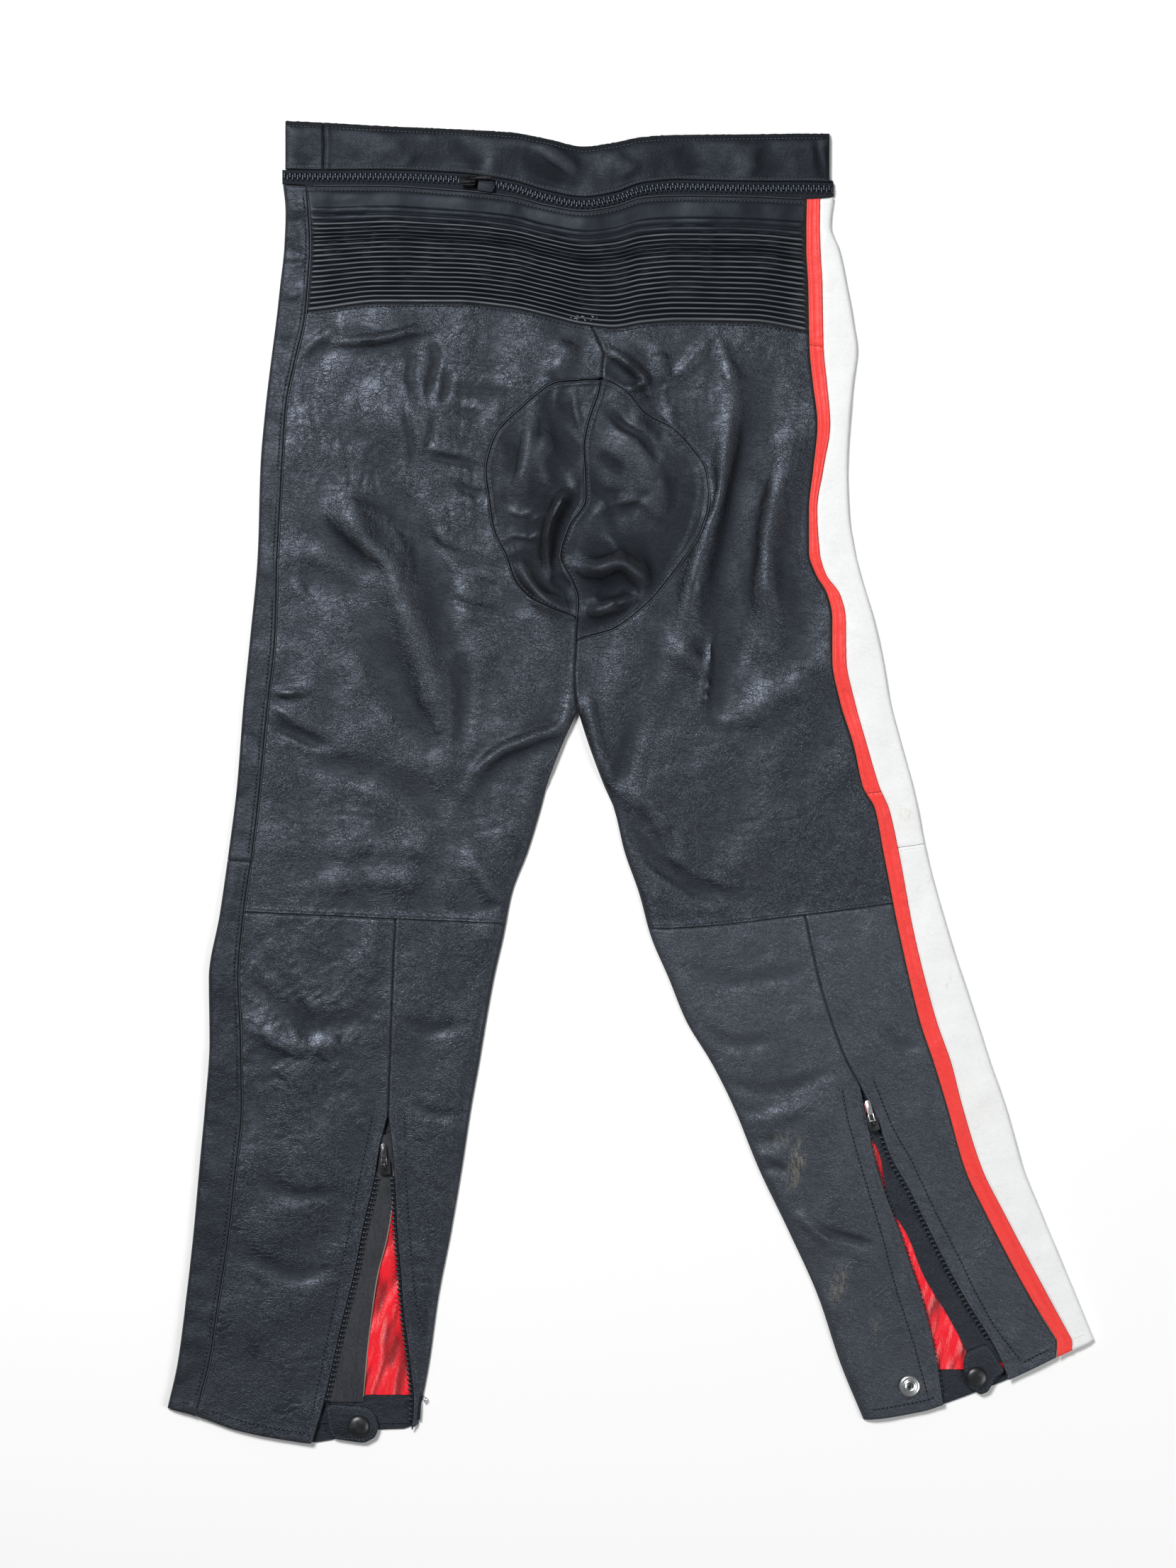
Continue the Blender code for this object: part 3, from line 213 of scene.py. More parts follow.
RIGHT_SIDE = Table(
    "drop  stripe_in  stripe_out  edge",
    (58, 136.5, 147, 157.5), (82, 136, 146.5, 155), (100, 136, 147, 161.5), (128, 137.5, 148.5, 167.5),
    (159, 138, 149, 173), (178, 138.5, 149.5, 175.5), (203, 141, 152, 172.5), (236, 144.5, 154.5, 169.5),
    (269, 141.5, 149.5, 168), (302, 138, 144.5, 169), (335, 138, 146.5, 174), (351, 143, 151, 178),
    (368, 152.5, 162.5, 183), (385, 156, 166.5, 188), (418, 156, 167, 195.5), (450, 162, 173.5, 201),
    (484, 172.5, 183, 210), (517, 180, 193, 219), (533, 189, 200, 222.5), (566, 195.5, 207.5, 229),
    (632, 208.5, 220, 247), (698, 224, 237, 268.5), (731, 235, 248.5, 279), (764, 245, 257, 290.5),
    (813, 259, 272.5, 304.5), (846, 274.5, 289, 318), (912, 309.5, 324, 345.5), (945, 330, 342, 359),
)
FRONT = Table(
    "drop  left_seam  right_seam",
    (50, -249, 134), (300, -268, 150), (620, -299, 222), (820, -314, 284), (1000, -334, 340),
)
CALF_SEAMS = Table(
    "drop  left  right",
    (616, -182, 135), (668, -184.5, 146.5), (726, -186.5, 166), (749, -187.5, 178), (771, -188, 186),
)
ANKLE_LEFT = Table(
    "drop  outer  inner",
    (771, -188, -188), (795, -194, -185), (822, -198.5, -183), (856, -206.5, -181.5),
    (892, -213.5, -178.5), (928, -222.5, -175.5), (968, -231.5, -170.5), (994, -237.5, -168.5),
    (1025, -247, -171),
)
ANKLE_RIGHT = Table(
    "drop  inner  outer",
    (749, 178, 178), (774, 183.5, 190.5), (801, 188.5, 200), (828, 196.5, 215), (855, 206.5, 228.5),
    (883, 216, 242.5), (910, 225, 257), (955, 236, 284), (995, 242.5, 300),
)
FLAPS = Table(
    "drop  left_free  right_free",
    (780, -183, 181), (800, -183, 192.5), (838, -184.5, 200), (865, -188.5, 215), (895, -196, 227),
    (925, -200.5, 245), (955, -204, 260.5), (990, -207, 272),
)
PATCH_TOP = 200.0
LEFT_PATCH_FOOT = 387.0
RIGHT_PATCH_FOOT = 404.0
CROTCH = 459.0
LEFT_OPENING = 771.0
RIGHT_OPENING = 749.0
CENTRE_RIB_EDGE = 159.0  # drops of the cross lines at the middle of the garment
CENTRE_KNEE = 624.0


def joined(above, below, place):
    """One line above a drop, and another below it."""
    return lambda drop: np.where(drop <= place, above(drop), below(drop))


def beside_patch(patch, line, foot):
    """A line that goes round a seat patch."""
    return lambda drop: np.where((drop > PATCH_TOP) & (drop < foot), patch(drop), line(drop))


left_inner = joined(SEAT.centre, INNER_LEGS.left, CROTCH)
right_inner = joined(SEAT.centre, INNER_LEGS.right, CROTCH)
back_left_inner = beside_patch(SEAT.patch_left, left_inner, LEFT_PATCH_FOOT)
back_right_inner = beside_patch(SEAT.patch_right, right_inner, RIGHT_PATCH_FOOT)
calf_left_outer = joined(CALF_SEAMS.left, ANKLE_LEFT.outer, LEFT_OPENING)
calf_left_inner = joined(CALF_SEAMS.left, ANKLE_LEFT.inner, LEFT_OPENING)
calf_right_inner = joined(CALF_SEAMS.right, ANKLE_RIGHT.inner, RIGHT_OPENING)
calf_right_outer = joined(CALF_SEAMS.right, ANKLE_RIGHT.outer, RIGHT_OPENING)

# %% [markdown]
# ## Rows
#
# Rows run across the garment. A row number is 0 at the top of the body, 1 at the foot of the ribs,
# 2 at the knee seams and 3 at the hems, and a fraction between. Two panels that share a seam and
# have the same rows then meet exactly.

# %% Rows across the garment
SEAM_INSET = 0.12


def row_drop(row, x):
    """The drop of a row at places across the garment."""
    row, x = np.broadcast_arrays(np.asarray(row, float), np.asarray(x, float))
    marks = np.stack([WAIST.body_top(x), WAIST.rib_edge(x), LEGS_ACROSS.knee(x), HEMS.hem(x)])
    stretch = np.clip(np.floor(row), 0, 2).astype(int)
    above = np.take_along_axis(marks, stretch[None], 0)[0]
    below = np.take_along_axis(marks, stretch[None] + 1, 0)[0]
    return above + (below - above) * (row - stretch)


def meet(line, rows):
    """Where a line down the garment crosses rows: its x and drop at each, by halving."""
    low, high = np.zeros(len(rows)), np.full(len(rows), LENGTH + 60.0)
    for _ in range(44):
        middle = (low + high) / 2
        above = middle < row_drop(rows, line(middle))
        low, high = np.where(above, middle, low), np.where(above, high, middle)
    return line(low), low


def lean(line, drop):
    """How much longer a line is than its drop, because it slants."""
    return np.hypot(1, (line(drop + 0.5) - line(drop - 0.5)))


FINE = np.array([0.0, 0.35, 0.8, 1.3, 1.8, 2.3, 2.9, 3.8])


def stations(length, step, start=True, end=True):
    """Distances along a length: an even step, with a few fine ones beside a seam."""
    first = FINE if start else np.array([0.0])
    last = length - FINE[::-1] if end else np.array([length])
    count = max(1, int(round((last[0] - first[-1]) / step)))
    return np.concatenate((first[:-1], np.linspace(first[-1], last[0], count + 1), last[1:]))


def thigh_row(drop):
    """The row that passes the middle of the garment at a drop between ribs and knee."""
    return 1 + (drop - CENTRE_RIB_EDGE) / (CENTRE_KNEE - CENTRE_RIB_EDGE)


STEP = 2.0
THIGH_ROWS = thigh_row(np.unique(np.round(np.concatenate((
    CENTRE_RIB_EDGE + FINE,
    np.arange(165, PATCH_TOP, STEP),
    np.arange(PATCH_TOP, 212, 0.75),
    np.arange(212, 380, STEP),
    np.arange(380, RIGHT_PATCH_FOOT, 1.5),
    np.arange(RIGHT_PATCH_FOOT, CENTRE_KNEE - 5, STEP),
    CENTRE_KNEE - FINE,
)), 3)))
CALF_ROWS = 2 + stations(395.0, STEP) / 395.0
print("rows on a thigh", len(THIGH_ROWS), "rows on a calf", len(CALF_ROWS))

# %% [markdown]
# ## Folds and wrinkles
#
# Worn leather keeps three sizes of relief. The largest are folds, listed along short paths.
# Between them lie creases, thinner and sharper, also listed. The smallest are a mesh of wrinkles,
# which a noise makes, stronger where the leather bends in use: the seat, the thighs, the calves.

# %% Folds, listed one by one
# Each row: height, width, lean, then the places it passes. A lean above 0 raises the side that is
# on the left of a fold that runs down, or below one that runs to the right.
FOLDS = (
    # seat: the pucker over the centre seam, and its pocket
    (5.2, 4.6, 0, ((-19, 178), (-5, 187), (5, 195), (10, 202), (5, 206), (-2, 208))),
    (-4.5, 5.5, 0, ((-18, 186), (-10, 195), (1, 203))),
    (-3, 8, 0, ((-68, 156), (-46, 163), (-26, 170))),
    (2.2, 9, 0, ((22, 178), (23, 190), (26, 206))),
    (-3.2, 4.5, 0, ((9, 213), (14, 224), (20, 238))),
    (2.5, 9, 0.6, ((-42, 172), (-50, 186), (-60, 204))),
    # left patch
    (-4.5, 8, 0, ((-53, 208), (-52, 242), (-38, 274))),
    (3.6, 8, 0.3, ((-74, 226), (-79, 262), (-86, 296))),
    (3, 7, 0.2, ((-59, 240), (-68, 264), (-60, 294))),
    (9, 5.5, 0.5, ((-43, 286), (-53, 298), (-62, 322), (-61, 352))),
    (-5.5, 5, 0, ((-46, 288), (-54, 312), (-58, 334), (-59, 354))),
    (5.5, 6.5, 0.2, ((-88, 336), (-78, 357), (-63, 372), (-44, 380))),
    (-3, 4, 0, ((-62, 352), (-54, 358), (-46, 364))),
    (1.5, 4, 0, ((-80, 312), (-70, 306), (-62, 306))),
    (1.6, 3, 0.4, ((-54, 204), (-58, 218), (-50, 236), (-40, 250))),
    (-1.5, 2.8, 0.3, ((-64, 206), (-62, 226), (-54, 244))),
    (1.3, 2.8, 0.3, ((-44, 212), (-42, 228), (-36, 240))),
    (1.5, 3, -0.4, ((-104, 330), (-90, 322), (-76, 324), (-66, 310))),
    (-1.5, 3, -0.3, ((-98, 344), (-84, 338), (-72, 342))),
    (1.4, 3, -0.3, ((-96, 302), (-84, 306), (-74, 300))),
    (-1.2, 3, 0.3, ((-96, 246), (-90, 262), (-94, 280))),
    # right patch
    (-1.8, 3.4, 0.3, ((-18, 222), (-6, 236), (10, 246), (22, 262))),
    (1.5, 3.2, -0.3, ((-30, 310), (-16, 298), (6, 296), (20, 304))),
    (1.4, 3, 0.3, ((-22, 318), (-10, 330), (-2, 344))),
    (-1.4, 3, 0.3, ((28, 268), (34, 288), (30, 310))),
    (1.6, 3, -0.3, ((-36, 372), (-22, 370), (-12, 374), (0, 372))),
    (9, 8, -0.4, ((-46, 346), (-26, 350), (-8, 346), (3, 354), (4, 366))),
    (-5.5, 5, 0, ((-28, 365), (-16, 366), (-4, 362))),
    (6, 7, 0.3, ((5, 367), (-14, 378), (-37, 384))),
    (2.4, 5, 0.4, ((-4, 332), (11, 340), (14, 364))),
    (2.6, 20, 0, ((-14, 228), (8, 262), (20, 312))),
    (-2.6, 4, 0.3, ((-33, 270), (-22, 288), (-13, 290), (-15, 304), (-8, 322))),
    (-1.5, 4, 0, ((-13, 305), (2, 299), (14, 290))),
    (-1.4, 4, 0.3, ((-25, 255), (-13, 267), (-4, 274))),
    (1.3, 4, 0.4, ((-44, 334), (-22, 339), (0, 331))),
    (-1, 4, 0, ((18, 312), (40, 316))),
    # right thigh: the long ridge, the trough with its sharp tip, the ridge beyond
    (7, 12, 0.2, ((84, 204), (76, 262), (64, 312), (50, 360), (34, 430))),
    (-2.2, 4, 0, ((63, 262), (64, 288), (57, 312))),
    (-8.5, 12, 0, ((108, 200), (94, 262), (84, 330), (74, 400), (64, 452))),
    (2.6, 3.5, 0.8, ((66, 385), (63, 418), (60, 446), (58, 458))),
    (5, 13, 0.2, ((124, 262), (106, 330), (114, 404))),
    (2, 8, 0, ((32, 410), (48, 417), (62, 430))),
    (-1.2, 4, 0.3, ((58, 458), (70, 470), (86, 474))),
    (2, 12, 0, ((150, 420), (112, 446), (76, 466))),
    (1.6, 6, 0.4, ((66, 168), (50, 184), (33, 206))),
    (1.8, 7, 0.3, ((68, 168), (76, 190), (82, 214))),
    (1.4, 5, 0.3, ((31, 222), (34, 238), (42, 252))),
    (1.2, 4, 0.3, ((14, 200), (15, 214), (14, 230))),
    # inside of the right leg and above the right knee
    (3.2, 6, 0, ((-36, 440), (-28, 478), (-16, 520))),
    (-2.4, 7, 0, ((4, 462), (-4, 491), (-11, 520))),
    (-3.6, 6, -0.5, ((-11, 530), (2, 554), (18, 573), (36, 587), (58, 600), (88, 604))),
    (-1.6, 4, -0.3, ((2, 556), (18, 577), (42, 592), (62, 600))),
    (-1.8, 3, 0.3, ((7, 536), (12, 551))),
    (-1.8, 3, 0.3, ((17, 549), (26, 569))),
    (-1.4, 3, 0.3, ((29, 545), (32, 571))),
    (1.6, 8, 0, ((-4, 522), (14, 530), (34, 556))),
    # left seat and thigh: broad light ridges with valleys between them
    (4.6, 15, 0.2, ((-222, 262), (-212, 312), (-186, 352), (-160, 410), (-133, 494))),
    (-4.8, 9, 0, ((-197, 272), (-174, 304), (-158, 335), (-147, 362), (-143, 400))),
    (-4.2, 10, 0, ((-204, 392), (-192, 424), (-176, 452), (-158, 482))),
    (-2.6, 9, 0, ((-262, 300), (-238, 320), (-212, 340), (-195, 350), (-187, 372))),
    (-2, 9, 0, ((-262, 354), (-234, 357), (-210, 368))),
    (1.2, 8, 0, ((-262, 366), (-250, 362))),
    (-1.8, 7, 0.4, ((-132, 408), (-127, 432), (-129, 468), (-131, 492))),
    (3, 24, 0, ((-225, 214), (-168, 232), (-122, 220))),
    (2.4, 4.5, -0.9, ((-236, 174), (-196, 172), (-171, 166), (-158, 164))),
    (2, 6, -0.4, ((-257, 188), (-240, 171), (-224, 162))),
    (-1.8, 4, 0, ((-251, 186), (-242, 176), (-234, 170))),
    (-1.5, 3, 0.3, ((-176, 175), (-169, 186), (-170, 200), (-164, 216))),
    (-2.2, 3.2, 0.3, ((-155, 168), (-150, 184), (-154, 200), (-155, 216))),
    (-1.6, 3, 0.3, ((-142, 190), (-142, 206), (-146, 220))),
    (-1.4, 5, -0.3, ((-140, 208), (-120, 211), (-108, 211), (-92, 216))),
    (-0.9, 3, -0.3, ((-136, 224), (-114, 232))),
    (-1.2, 3, 0.3, ((-174, 222), (-170, 246), (-168, 272))),
    (-1.1, 3, 0.3, ((-150, 226), (-153, 242), (-156, 256))),
    (-1.8, 3.2, -0.5, ((-160, 260), (-144, 264), (-128, 267), (-112, 272))),
    (-2, 3.2, -0.5, ((-137, 282), (-127, 288), (-112, 292))),
    (-1.3, 4, -0.4, ((-222, 290), (-198, 297), (-170, 314), (-140, 336), (-98, 344))),
    (-0.9, 3, -0.3, ((-135, 342), (-112, 346), (-98, 350))),
    (-1.1, 3.2, -0.3, ((-140, 371), (-120, 378), (-96, 382))),
    (-0.8, 3, -0.3, ((-122, 356), (-100, 364))),
    # lower left thigh
    (2, 3.5, -0.6, ((-277, 444), (-262, 445), (-248, 443))),
    (-3, 4, -0.6, ((-280, 468), (-263, 475), (-248, 482), (-236, 486))),
    (1.4, 4, -0.3, ((-279, 456), (-268, 460), (-260, 466))),
    (-2.8, 9, -0.2, ((-258, 496), (-232, 502), (-200, 507), (-172, 518), (-155, 534), (-145, 554))),
    (3.4, 6, -0.6, ((-126, 522), (-114, 503), (-98, 490), (-74, 480), (-50, 468), (-43, 430))),
    (-1, 3, -0.3, ((-70, 506), (-58, 512))),
    (1.4, 12, 0, ((-242, 568), (-200, 562), (-138, 562))),
    (1, 10, 0, ((-277, 598), (-200, 588), (-150, 594))),
    (-1.4, 3, -0.3, ((-118, 612), (-104, 610), (-97, 606))),
    (1.5, 8, 0, ((-132, 560), (-112, 590), (-104, 606))),
    # calves
    (2, 26, 0, ((-250, 690), (-252, 780), (-262, 900))),
    (2, 24, 0, ((130, 700), (160, 800), (200, 900))),
    (-1.6, 7, 0, ((-300, 660), (-268, 690), (-232, 700), (-196, 690))),
    (1.6, 8, 0, ((-296, 700), (-262, 716), (-214, 716))),
    (-1.2, 6, 0, ((-292, 640), (-268, 668), (-252, 700), (-246, 736))),
    (-1.2, 6, -0.3, ((30, 652), (70, 668), (116, 664), (140, 656))),
    (-1.4, 5, -0.3, ((46, 700), (78, 716), (112, 714))),
    (-1.4, 5, -0.4, ((66, 742), (90, 752), (128, 748), (160, 736))),
    (-1.6, 4, -0.4, ((86, 786), (100, 792), (118, 790))),
    (1.4, 7, -0.3, ((84, 770), (110, 774), (138, 762))),
    (-1.2, 5, -0.3, ((190, 700), (206, 716), (226, 720))),
    (-1, 5, -0.3, ((-178, 700), (-150, 706), (-122, 700))),
    (-1, 5, -0.3, ((-176, 760), (-150, 772), (-128, 768))),
    (-1, 6, -0.2, ((-290, 820), (-260, 834), (-216, 830))),
    (-1, 6, -0.2, ((-300, 880), (-262, 896), (-226, 890))),
    (2.2, 6, -0.4, ((124, 846), (140, 858), (156, 874))),
    (-1.8, 3, -0.5, ((134, 850), (152, 862), (172, 868), (190, 873))),
    (-2.6, 6, 0.2, ((136, 874), (144, 892), (150, 916))),
    (1.8, 4, -0.3, ((94, 808), (106, 802), (118, 806))),
    (-1.8, 3, -0.3, ((98, 818), (110, 812), (122, 816))),
    (1.6, 4, 0.2, ((66, 762), (72, 776), (70, 790))),
    (-1.6, 4, -0.3, ((76, 756), (88, 768), (104, 770))),
    # side panels: bunched leather at the waist, soft bends lower down
    (-2, 3, -0.3, ((-271, 76), (-262, 80), (-252, 78))),
    (-1.8, 3, -0.3, ((-271, 96), (-262, 102), (-253, 104))),
    (2, 4, 0, ((-268, 88), (-256, 90))),
    (1.6, 3.4, 0.3, ((-270, 64), (-258, 68), (-251, 66))),
    (-2, 3.4, 0.3, ((-270, 110), (-262, 112), (-252, 108))),
    (1.4, 4, -0.3, ((-272, 132), (-262, 136), (-254, 134))),
    (-1.4, 4, 0.3, ((-277, 166), (-268, 172), (-262, 168))),
    (1.2, 6, 0, ((-290, 330), (-282, 342), (-276, 360))),
    (-1.4, 5, 0.3, ((-304, 470), (-296, 478), (-290, 476))),
    (-1, 3, -0.3, ((-272, 118), (-262, 122), (-254, 120))),
    (1.2, 5, 0, ((150, 84), (158, 92))),
    (-1, 4, 0, ((156, 330), (168, 340), (176, 352))),
    (1, 5, 0, ((166, 388), (182, 398), (194, 402))),
    (-0.8, 5, 0, ((222, 596), (238, 604), (246, 620))),
    # connector strip
    (2, 9, 0.3, ((-70, 12), (-58, 26), (-34, 44))),
    (-2, 7, 0, ((-84, 22), (-66, 38), (-48, 50))),
    (-1.6, 7, 0, ((-140, 14), (-124, 26), (-112, 40))),
    (1.4, 10, 0, ((-190, 12), (-178, 26), (-168, 38))),
    (1.6, 10, 0, ((-20, 22), (-8, 34), (6, 44))),
    (-1.2, 8, 0, ((40, 16), (48, 30), (52, 44))),
    (1, 8, 0, ((96, 16), (92, 30), (98, 44))),
    (-1.2, 3, 0.3, ((144, 12), (147, 28), (150, 46))),
    (-0.9, 4, 0, ((-262, 24), (-252, 32), (-244, 34))),
)
FOLD_STEPS = 6       # short pieces between two places of a path
FOLD_GAIN = 1.45     # all folds together, after comparing with the picture


def fold_path(points):
    """A smooth path through the places of a fold."""
    points = np.array(points, float)
    ends = np.vstack((2 * points[0] - points[1], points, 2 * points[-1] - points[-2]))
    path = []
    for i in range(len(points) - 1):
        a, b, c, d = ends[i:i + 4]
        for t in np.arange(FOLD_STEPS) / FOLD_STEPS:
            path.append(0.5 * (2 * b + (c - a) * t + (2 * a - 5 * b + 4 * c - d) * t * t
                               + (3 * b - a - 3 * c + d) * t ** 3))
    path.append(points[-1])
    return np.array(path)


def smooth_step(value):
    t = np.clip(value, 0, 1)
    return t * t * (3 - 2 * t)


def along_path(path, x, drop):
    """Distance to a path, signed distance, and how far along it, from 0 to 1, at places."""
    nearest = np.full(x.shape, 1e9)
    signed = np.zeros(x.shape)
    along = np.zeros(x.shape)
    for i, (a, b) in enumerate(zip(path[:-1], path[1:])):
        step = b - a
        t = ((x - a[0]) * step[0] + (drop - a[1]) * step[1]) / (step @ step)
        t = np.clip(t, 0, 1)
        dx, dd = x - a[0] - t * step[0], drop - a[1] - t * step[1]
        gap = np.hypot(dx, dd)
        closer = gap < nearest
        side = np.sign(step[0] * dd - step[1] * dx)
        nearest = np.where(closer, gap, nearest)
        signed = np.where(closer, side * gap, signed)
        along = np.where(closer, (i + t) / (len(path) - 1), along)
    return nearest, signed, along


def around(path, x, drop, reach):
    """Which places lie within reach of the box round a path."""
    low, high = path.min(axis=0) - reach, path.max(axis=0) + reach
    return (x > low[0]) & (x < high[0]) & (drop > low[1]) & (drop < high[1])


def folds(x, drop):
    """The sum of all folds at places."""
    total = np.zeros(x.shape)
    for height, width, tilt, points in FOLDS:
        path = fold_path(points)
        reach = 3.2 * width
        near = around(path, x, drop, reach)
        if not near.any():
            continue
        gap, signed, along = along_path(path, x[near], drop[near])
        taper = smooth_step(along / 0.3) * smooth_step((1 - along) / 0.3)
        bell = np.exp(-((gap / width) ** 2))
        total[near] += (FOLD_GAIN * height * (0.2 + 0.8 * taper) * bell
                        * (1 + 1.6 * tilt * signed / width))
    return total


# %% Wrinkles, from a noise
def soft_noise(x, y, seed):
    """Smooth noise between about -1 and 1, the same on every run."""
    x, y = np.asarray(x, float), np.asarray(y, float)
    cell_x, cell_y = np.floor(x).astype(np.int64), np.floor(y).astype(np.int64)
    u, v = x - cell_x, y - cell_y

    def corner(dx, dy):
        mixed = (cell_x + dx) * 374761393 + (cell_y + dy) * 668265263 + seed * 69069
        mixed = (mixed ^ (mixed >> 13)) * 1274126177 & 0x7FFFFFFF
        angle = ((mixed ^ (mixed >> 16)) & 0xFFFF) / 65536 * 2 * math.pi
        return np.cos(angle) * (u - dx) + np.sin(angle) * (v - dy)

    fade_u, fade_v = u ** 3 * (u * (6 * u - 15) + 10), v ** 3 * (v * (6 * v - 15) + 10)
    upper = corner(0, 0) * (1 - fade_u) + corner(1, 0) * fade_u
    lower = corner(0, 1) * (1 - fade_u) + corner(1, 1) * fade_u
    return 1.5 * (upper * (1 - fade_v) + lower * fade_v)


def creased(x, y, seed):
    """Rounded lumps with sharp valleys between them, from -1 to about 0.3."""
    bend_x = x + 0.6 * soft_noise(x * 0.7, y * 0.7, seed + 11)
    bend_y = y + 0.6 * soft_noise(x * 0.7, y * 0.7, seed + 12)
    wave = np.abs(soft_noise(bend_x, bend_y, seed))
    return -np.exp(-((wave / 0.16) ** 2)) + 0.3 * wave


def window(x, drop, middle, reach):
    """1 inside an oval region, falling to 0 outside it."""
    far = ((x - middle[0]) / reach[0]) ** 2 + ((drop - middle[1]) / reach[1]) ** 2
    return np.exp(-far ** 2)


def wrinkles(x, drop):
    """The small relief of worn leather."""
    seat = window(x, drop, (-150, 250), (120, 120)) + 0.6 * window(x, drop, (70, 230), (90, 90))
    calf = window(x, drop, (-250, 690), (75, 85))
    knees = (window(x, drop, (-180, 520), (140, 60)) + window(x, drop, (80, 560), (130, 60)))
    lower = smooth_step((drop - 620) / 60)
    patches = np.clip(0.45 + 0.9 * soft_noise(x / 48, drop / 48, 31), 0.05, 1.3)
    turned = x * 0.8 + drop * 0.6
    swell = (1.5 * soft_noise(turned / 40, (drop - x) / 90, 1)
             + 0.7 * soft_noise(x / 24, drop / 34, 2) + 0.14 * soft_noise(x / 9.5, drop / 11, 8))
    across = creased(x / 38, drop / 12, 3) + 0.5 * creased(x / 19, drop / 6.5, 9)
    down = creased(x / 11, drop / 40, 4)
    mesh = creased(x / 13, drop / 13, 5) + 0.4 * creased(x / 7, drop / 7, 10)
    slant = (x + drop) / 9.5, (x - drop) / 9.5
    lattice = creased(slant[0], slant[1] * 0.35, 6) + creased(slant[0] * 0.35, slant[1], 7)
    return (
        swell
        + patches * (0.10 + 0.34 * knees + 0.08 * lower) * across
        + patches * (0.12 + 0.46 * seat) * down
        + patches * (0.12 + 0.36 * seat) * mesh
        + 0.5 * calf * lattice
    )


# %% Height of the cloth
WALL = 1.4                    # leather of the solids
SEAM_GAP = 0.3                # between neighbouring pieces and lying layers
STACK = 2 * WALL + SEAM_GAP   # height where the back lies on the front
RISE = 3.5                    # how much higher the cloth stands inside its edges
ROLL = 4.0                    # how quickly it rises
ROLL_IN = 3.0                 # a folded side edge is already this far round its roll
FOLD_CALM = 12.0              # folds die out this near an edge
WRINKLE_CALM = 5.0            # and wrinkles this near
ZIP_FOOT = 44                 # drop where the folded side edges begin
PARTING = 60                  # how far above the crotch the legs' edges still tell


def edge_distance(x, drop):
    """How far a place lies inside the edges of the laid garment."""
    folded = ROLL_IN * smooth_step((drop - ZIP_FOOT) / 6)
    nearest = np.minimum(x - LEFT_SIDE.edge(drop) + folded, RIGHT_SIDE.edge(drop) - x + folded)
    nearest = np.minimum(nearest, drop - WAIST.strip_top(x))
    parting = np.maximum(0.0, CROTCH + PARTING - drop) * 0.5
    left, right = INNER_LEGS.left(drop), INNER_LEGS.right(drop)
    inner = np.where(x < (left + right) / 2, left - x, x - right)
    nearest = np.where(drop > CROTCH, np.minimum(nearest, inner + parting), nearest)
    return np.maximum(0.0, nearest)


def cloth_height(x, drop):
    """Top of the cloth above the floor, in millimetres."""
    inside = edge_distance(x, drop)
    level = STACK + RISE * (1 - np.exp(-inside / ROLL))
    calm = 1 - np.exp(-inside / FOLD_CALM)
    fine_calm = 1 - np.exp(-inside / WRINKLE_CALM)
    relief = folds(x, drop) * calm + wrinkles(x, drop) * fine_calm
    room = level - STACK + 0.05
    sunk = -room * (1 - np.exp(np.minimum(relief, 0) / room))
    return level + np.where(relief < 0, sunk, relief)


# %% [markdown]
# ## Seams
#
# At a seam one panel is folded and lies over its neighbour, with a row of stitches that pulls it
# down, and the neighbour dips beneath. Each seam is a path, and each side of it has a profile: how
# much higher or lower the leather stands at a distance from that path.

# %% Seam paths and profiles
def down_path(line, start, end, step=2.0):
    drops = np.arange(start, end + step / 2, step)
    return np.column_stack((line(drops), drops))


def across_path(level, start, end, step=2.0):
    xs = np.arange(start, end + step / 2, step)
    return np.column_stack((xs, level(xs)))


STRIP_LEFT, STRIP_JOIN, STRIP_RIGHT = -267.5, -238.0, 154.0
SEAMS = {
    "strip top": across_path(WAIST.strip_top, STRIP_LEFT, STRIP_RIGHT),
    "strip join": np.array([(STRIP_JOIN, 0.0), (STRIP_JOIN + 0.6, 20.0), (STRIP_JOIN, 40.0)]),
    "body top": across_path(WAIST.body_top, -272, 158),
    "rib edge": across_path(WAIST.rib_edge, -256, 139),
    "left side": down_path(LEFT_SIDE.seam, 50, 1004),
    "stripe in": down_path(RIGHT_SIDE.stripe_in, 58, 958),
    "stripe out": down_path(RIGHT_SIDE.stripe_out, 58, 952),
    "centre": down_path(SEAT.centre, 160, CROTCH),
    "left patch": down_path(SEAT.patch_left, PATCH_TOP, LEFT_PATCH_FOOT, 0.75),
    "right patch": down_path(SEAT.patch_right, PATCH_TOP, RIGHT_PATCH_FOOT, 0.75),
    "left inner": down_path(INNER_LEGS.left, CROTCH, 1010),
    "right inner": down_path(INNER_LEGS.right, CROTCH, 1007),
    "left knee": across_path(LEGS_ACROSS.knee, -302, -96),
    "right knee": across_path(LEGS_ACROSS.knee, 12, 208),
    "left calf": down_path(CALF_SEAMS.left, 618, LEFT_OPENING),
    "right calf": down_path(CALF_SEAMS.right, 615, RIGHT_OPENING),
    "left zip outer": down_path(ANKLE_LEFT.outer, LEFT_OPENING, 1025),
    "left zip inner": down_path(ANKLE_LEFT.inner, LEFT_OPENING, 1014),
    "right zip inner": down_path(ANKLE_RIGHT.inner, RIGHT_OPENING, 996),
    "right zip outer": down_path(ANKLE_RIGHT.outer, RIGHT_OPENING, 974),
    "left hem": across_path(HEMS.hem, -359, -162),
    "right hem": across_path(HEMS.hem, 178, 359),
}


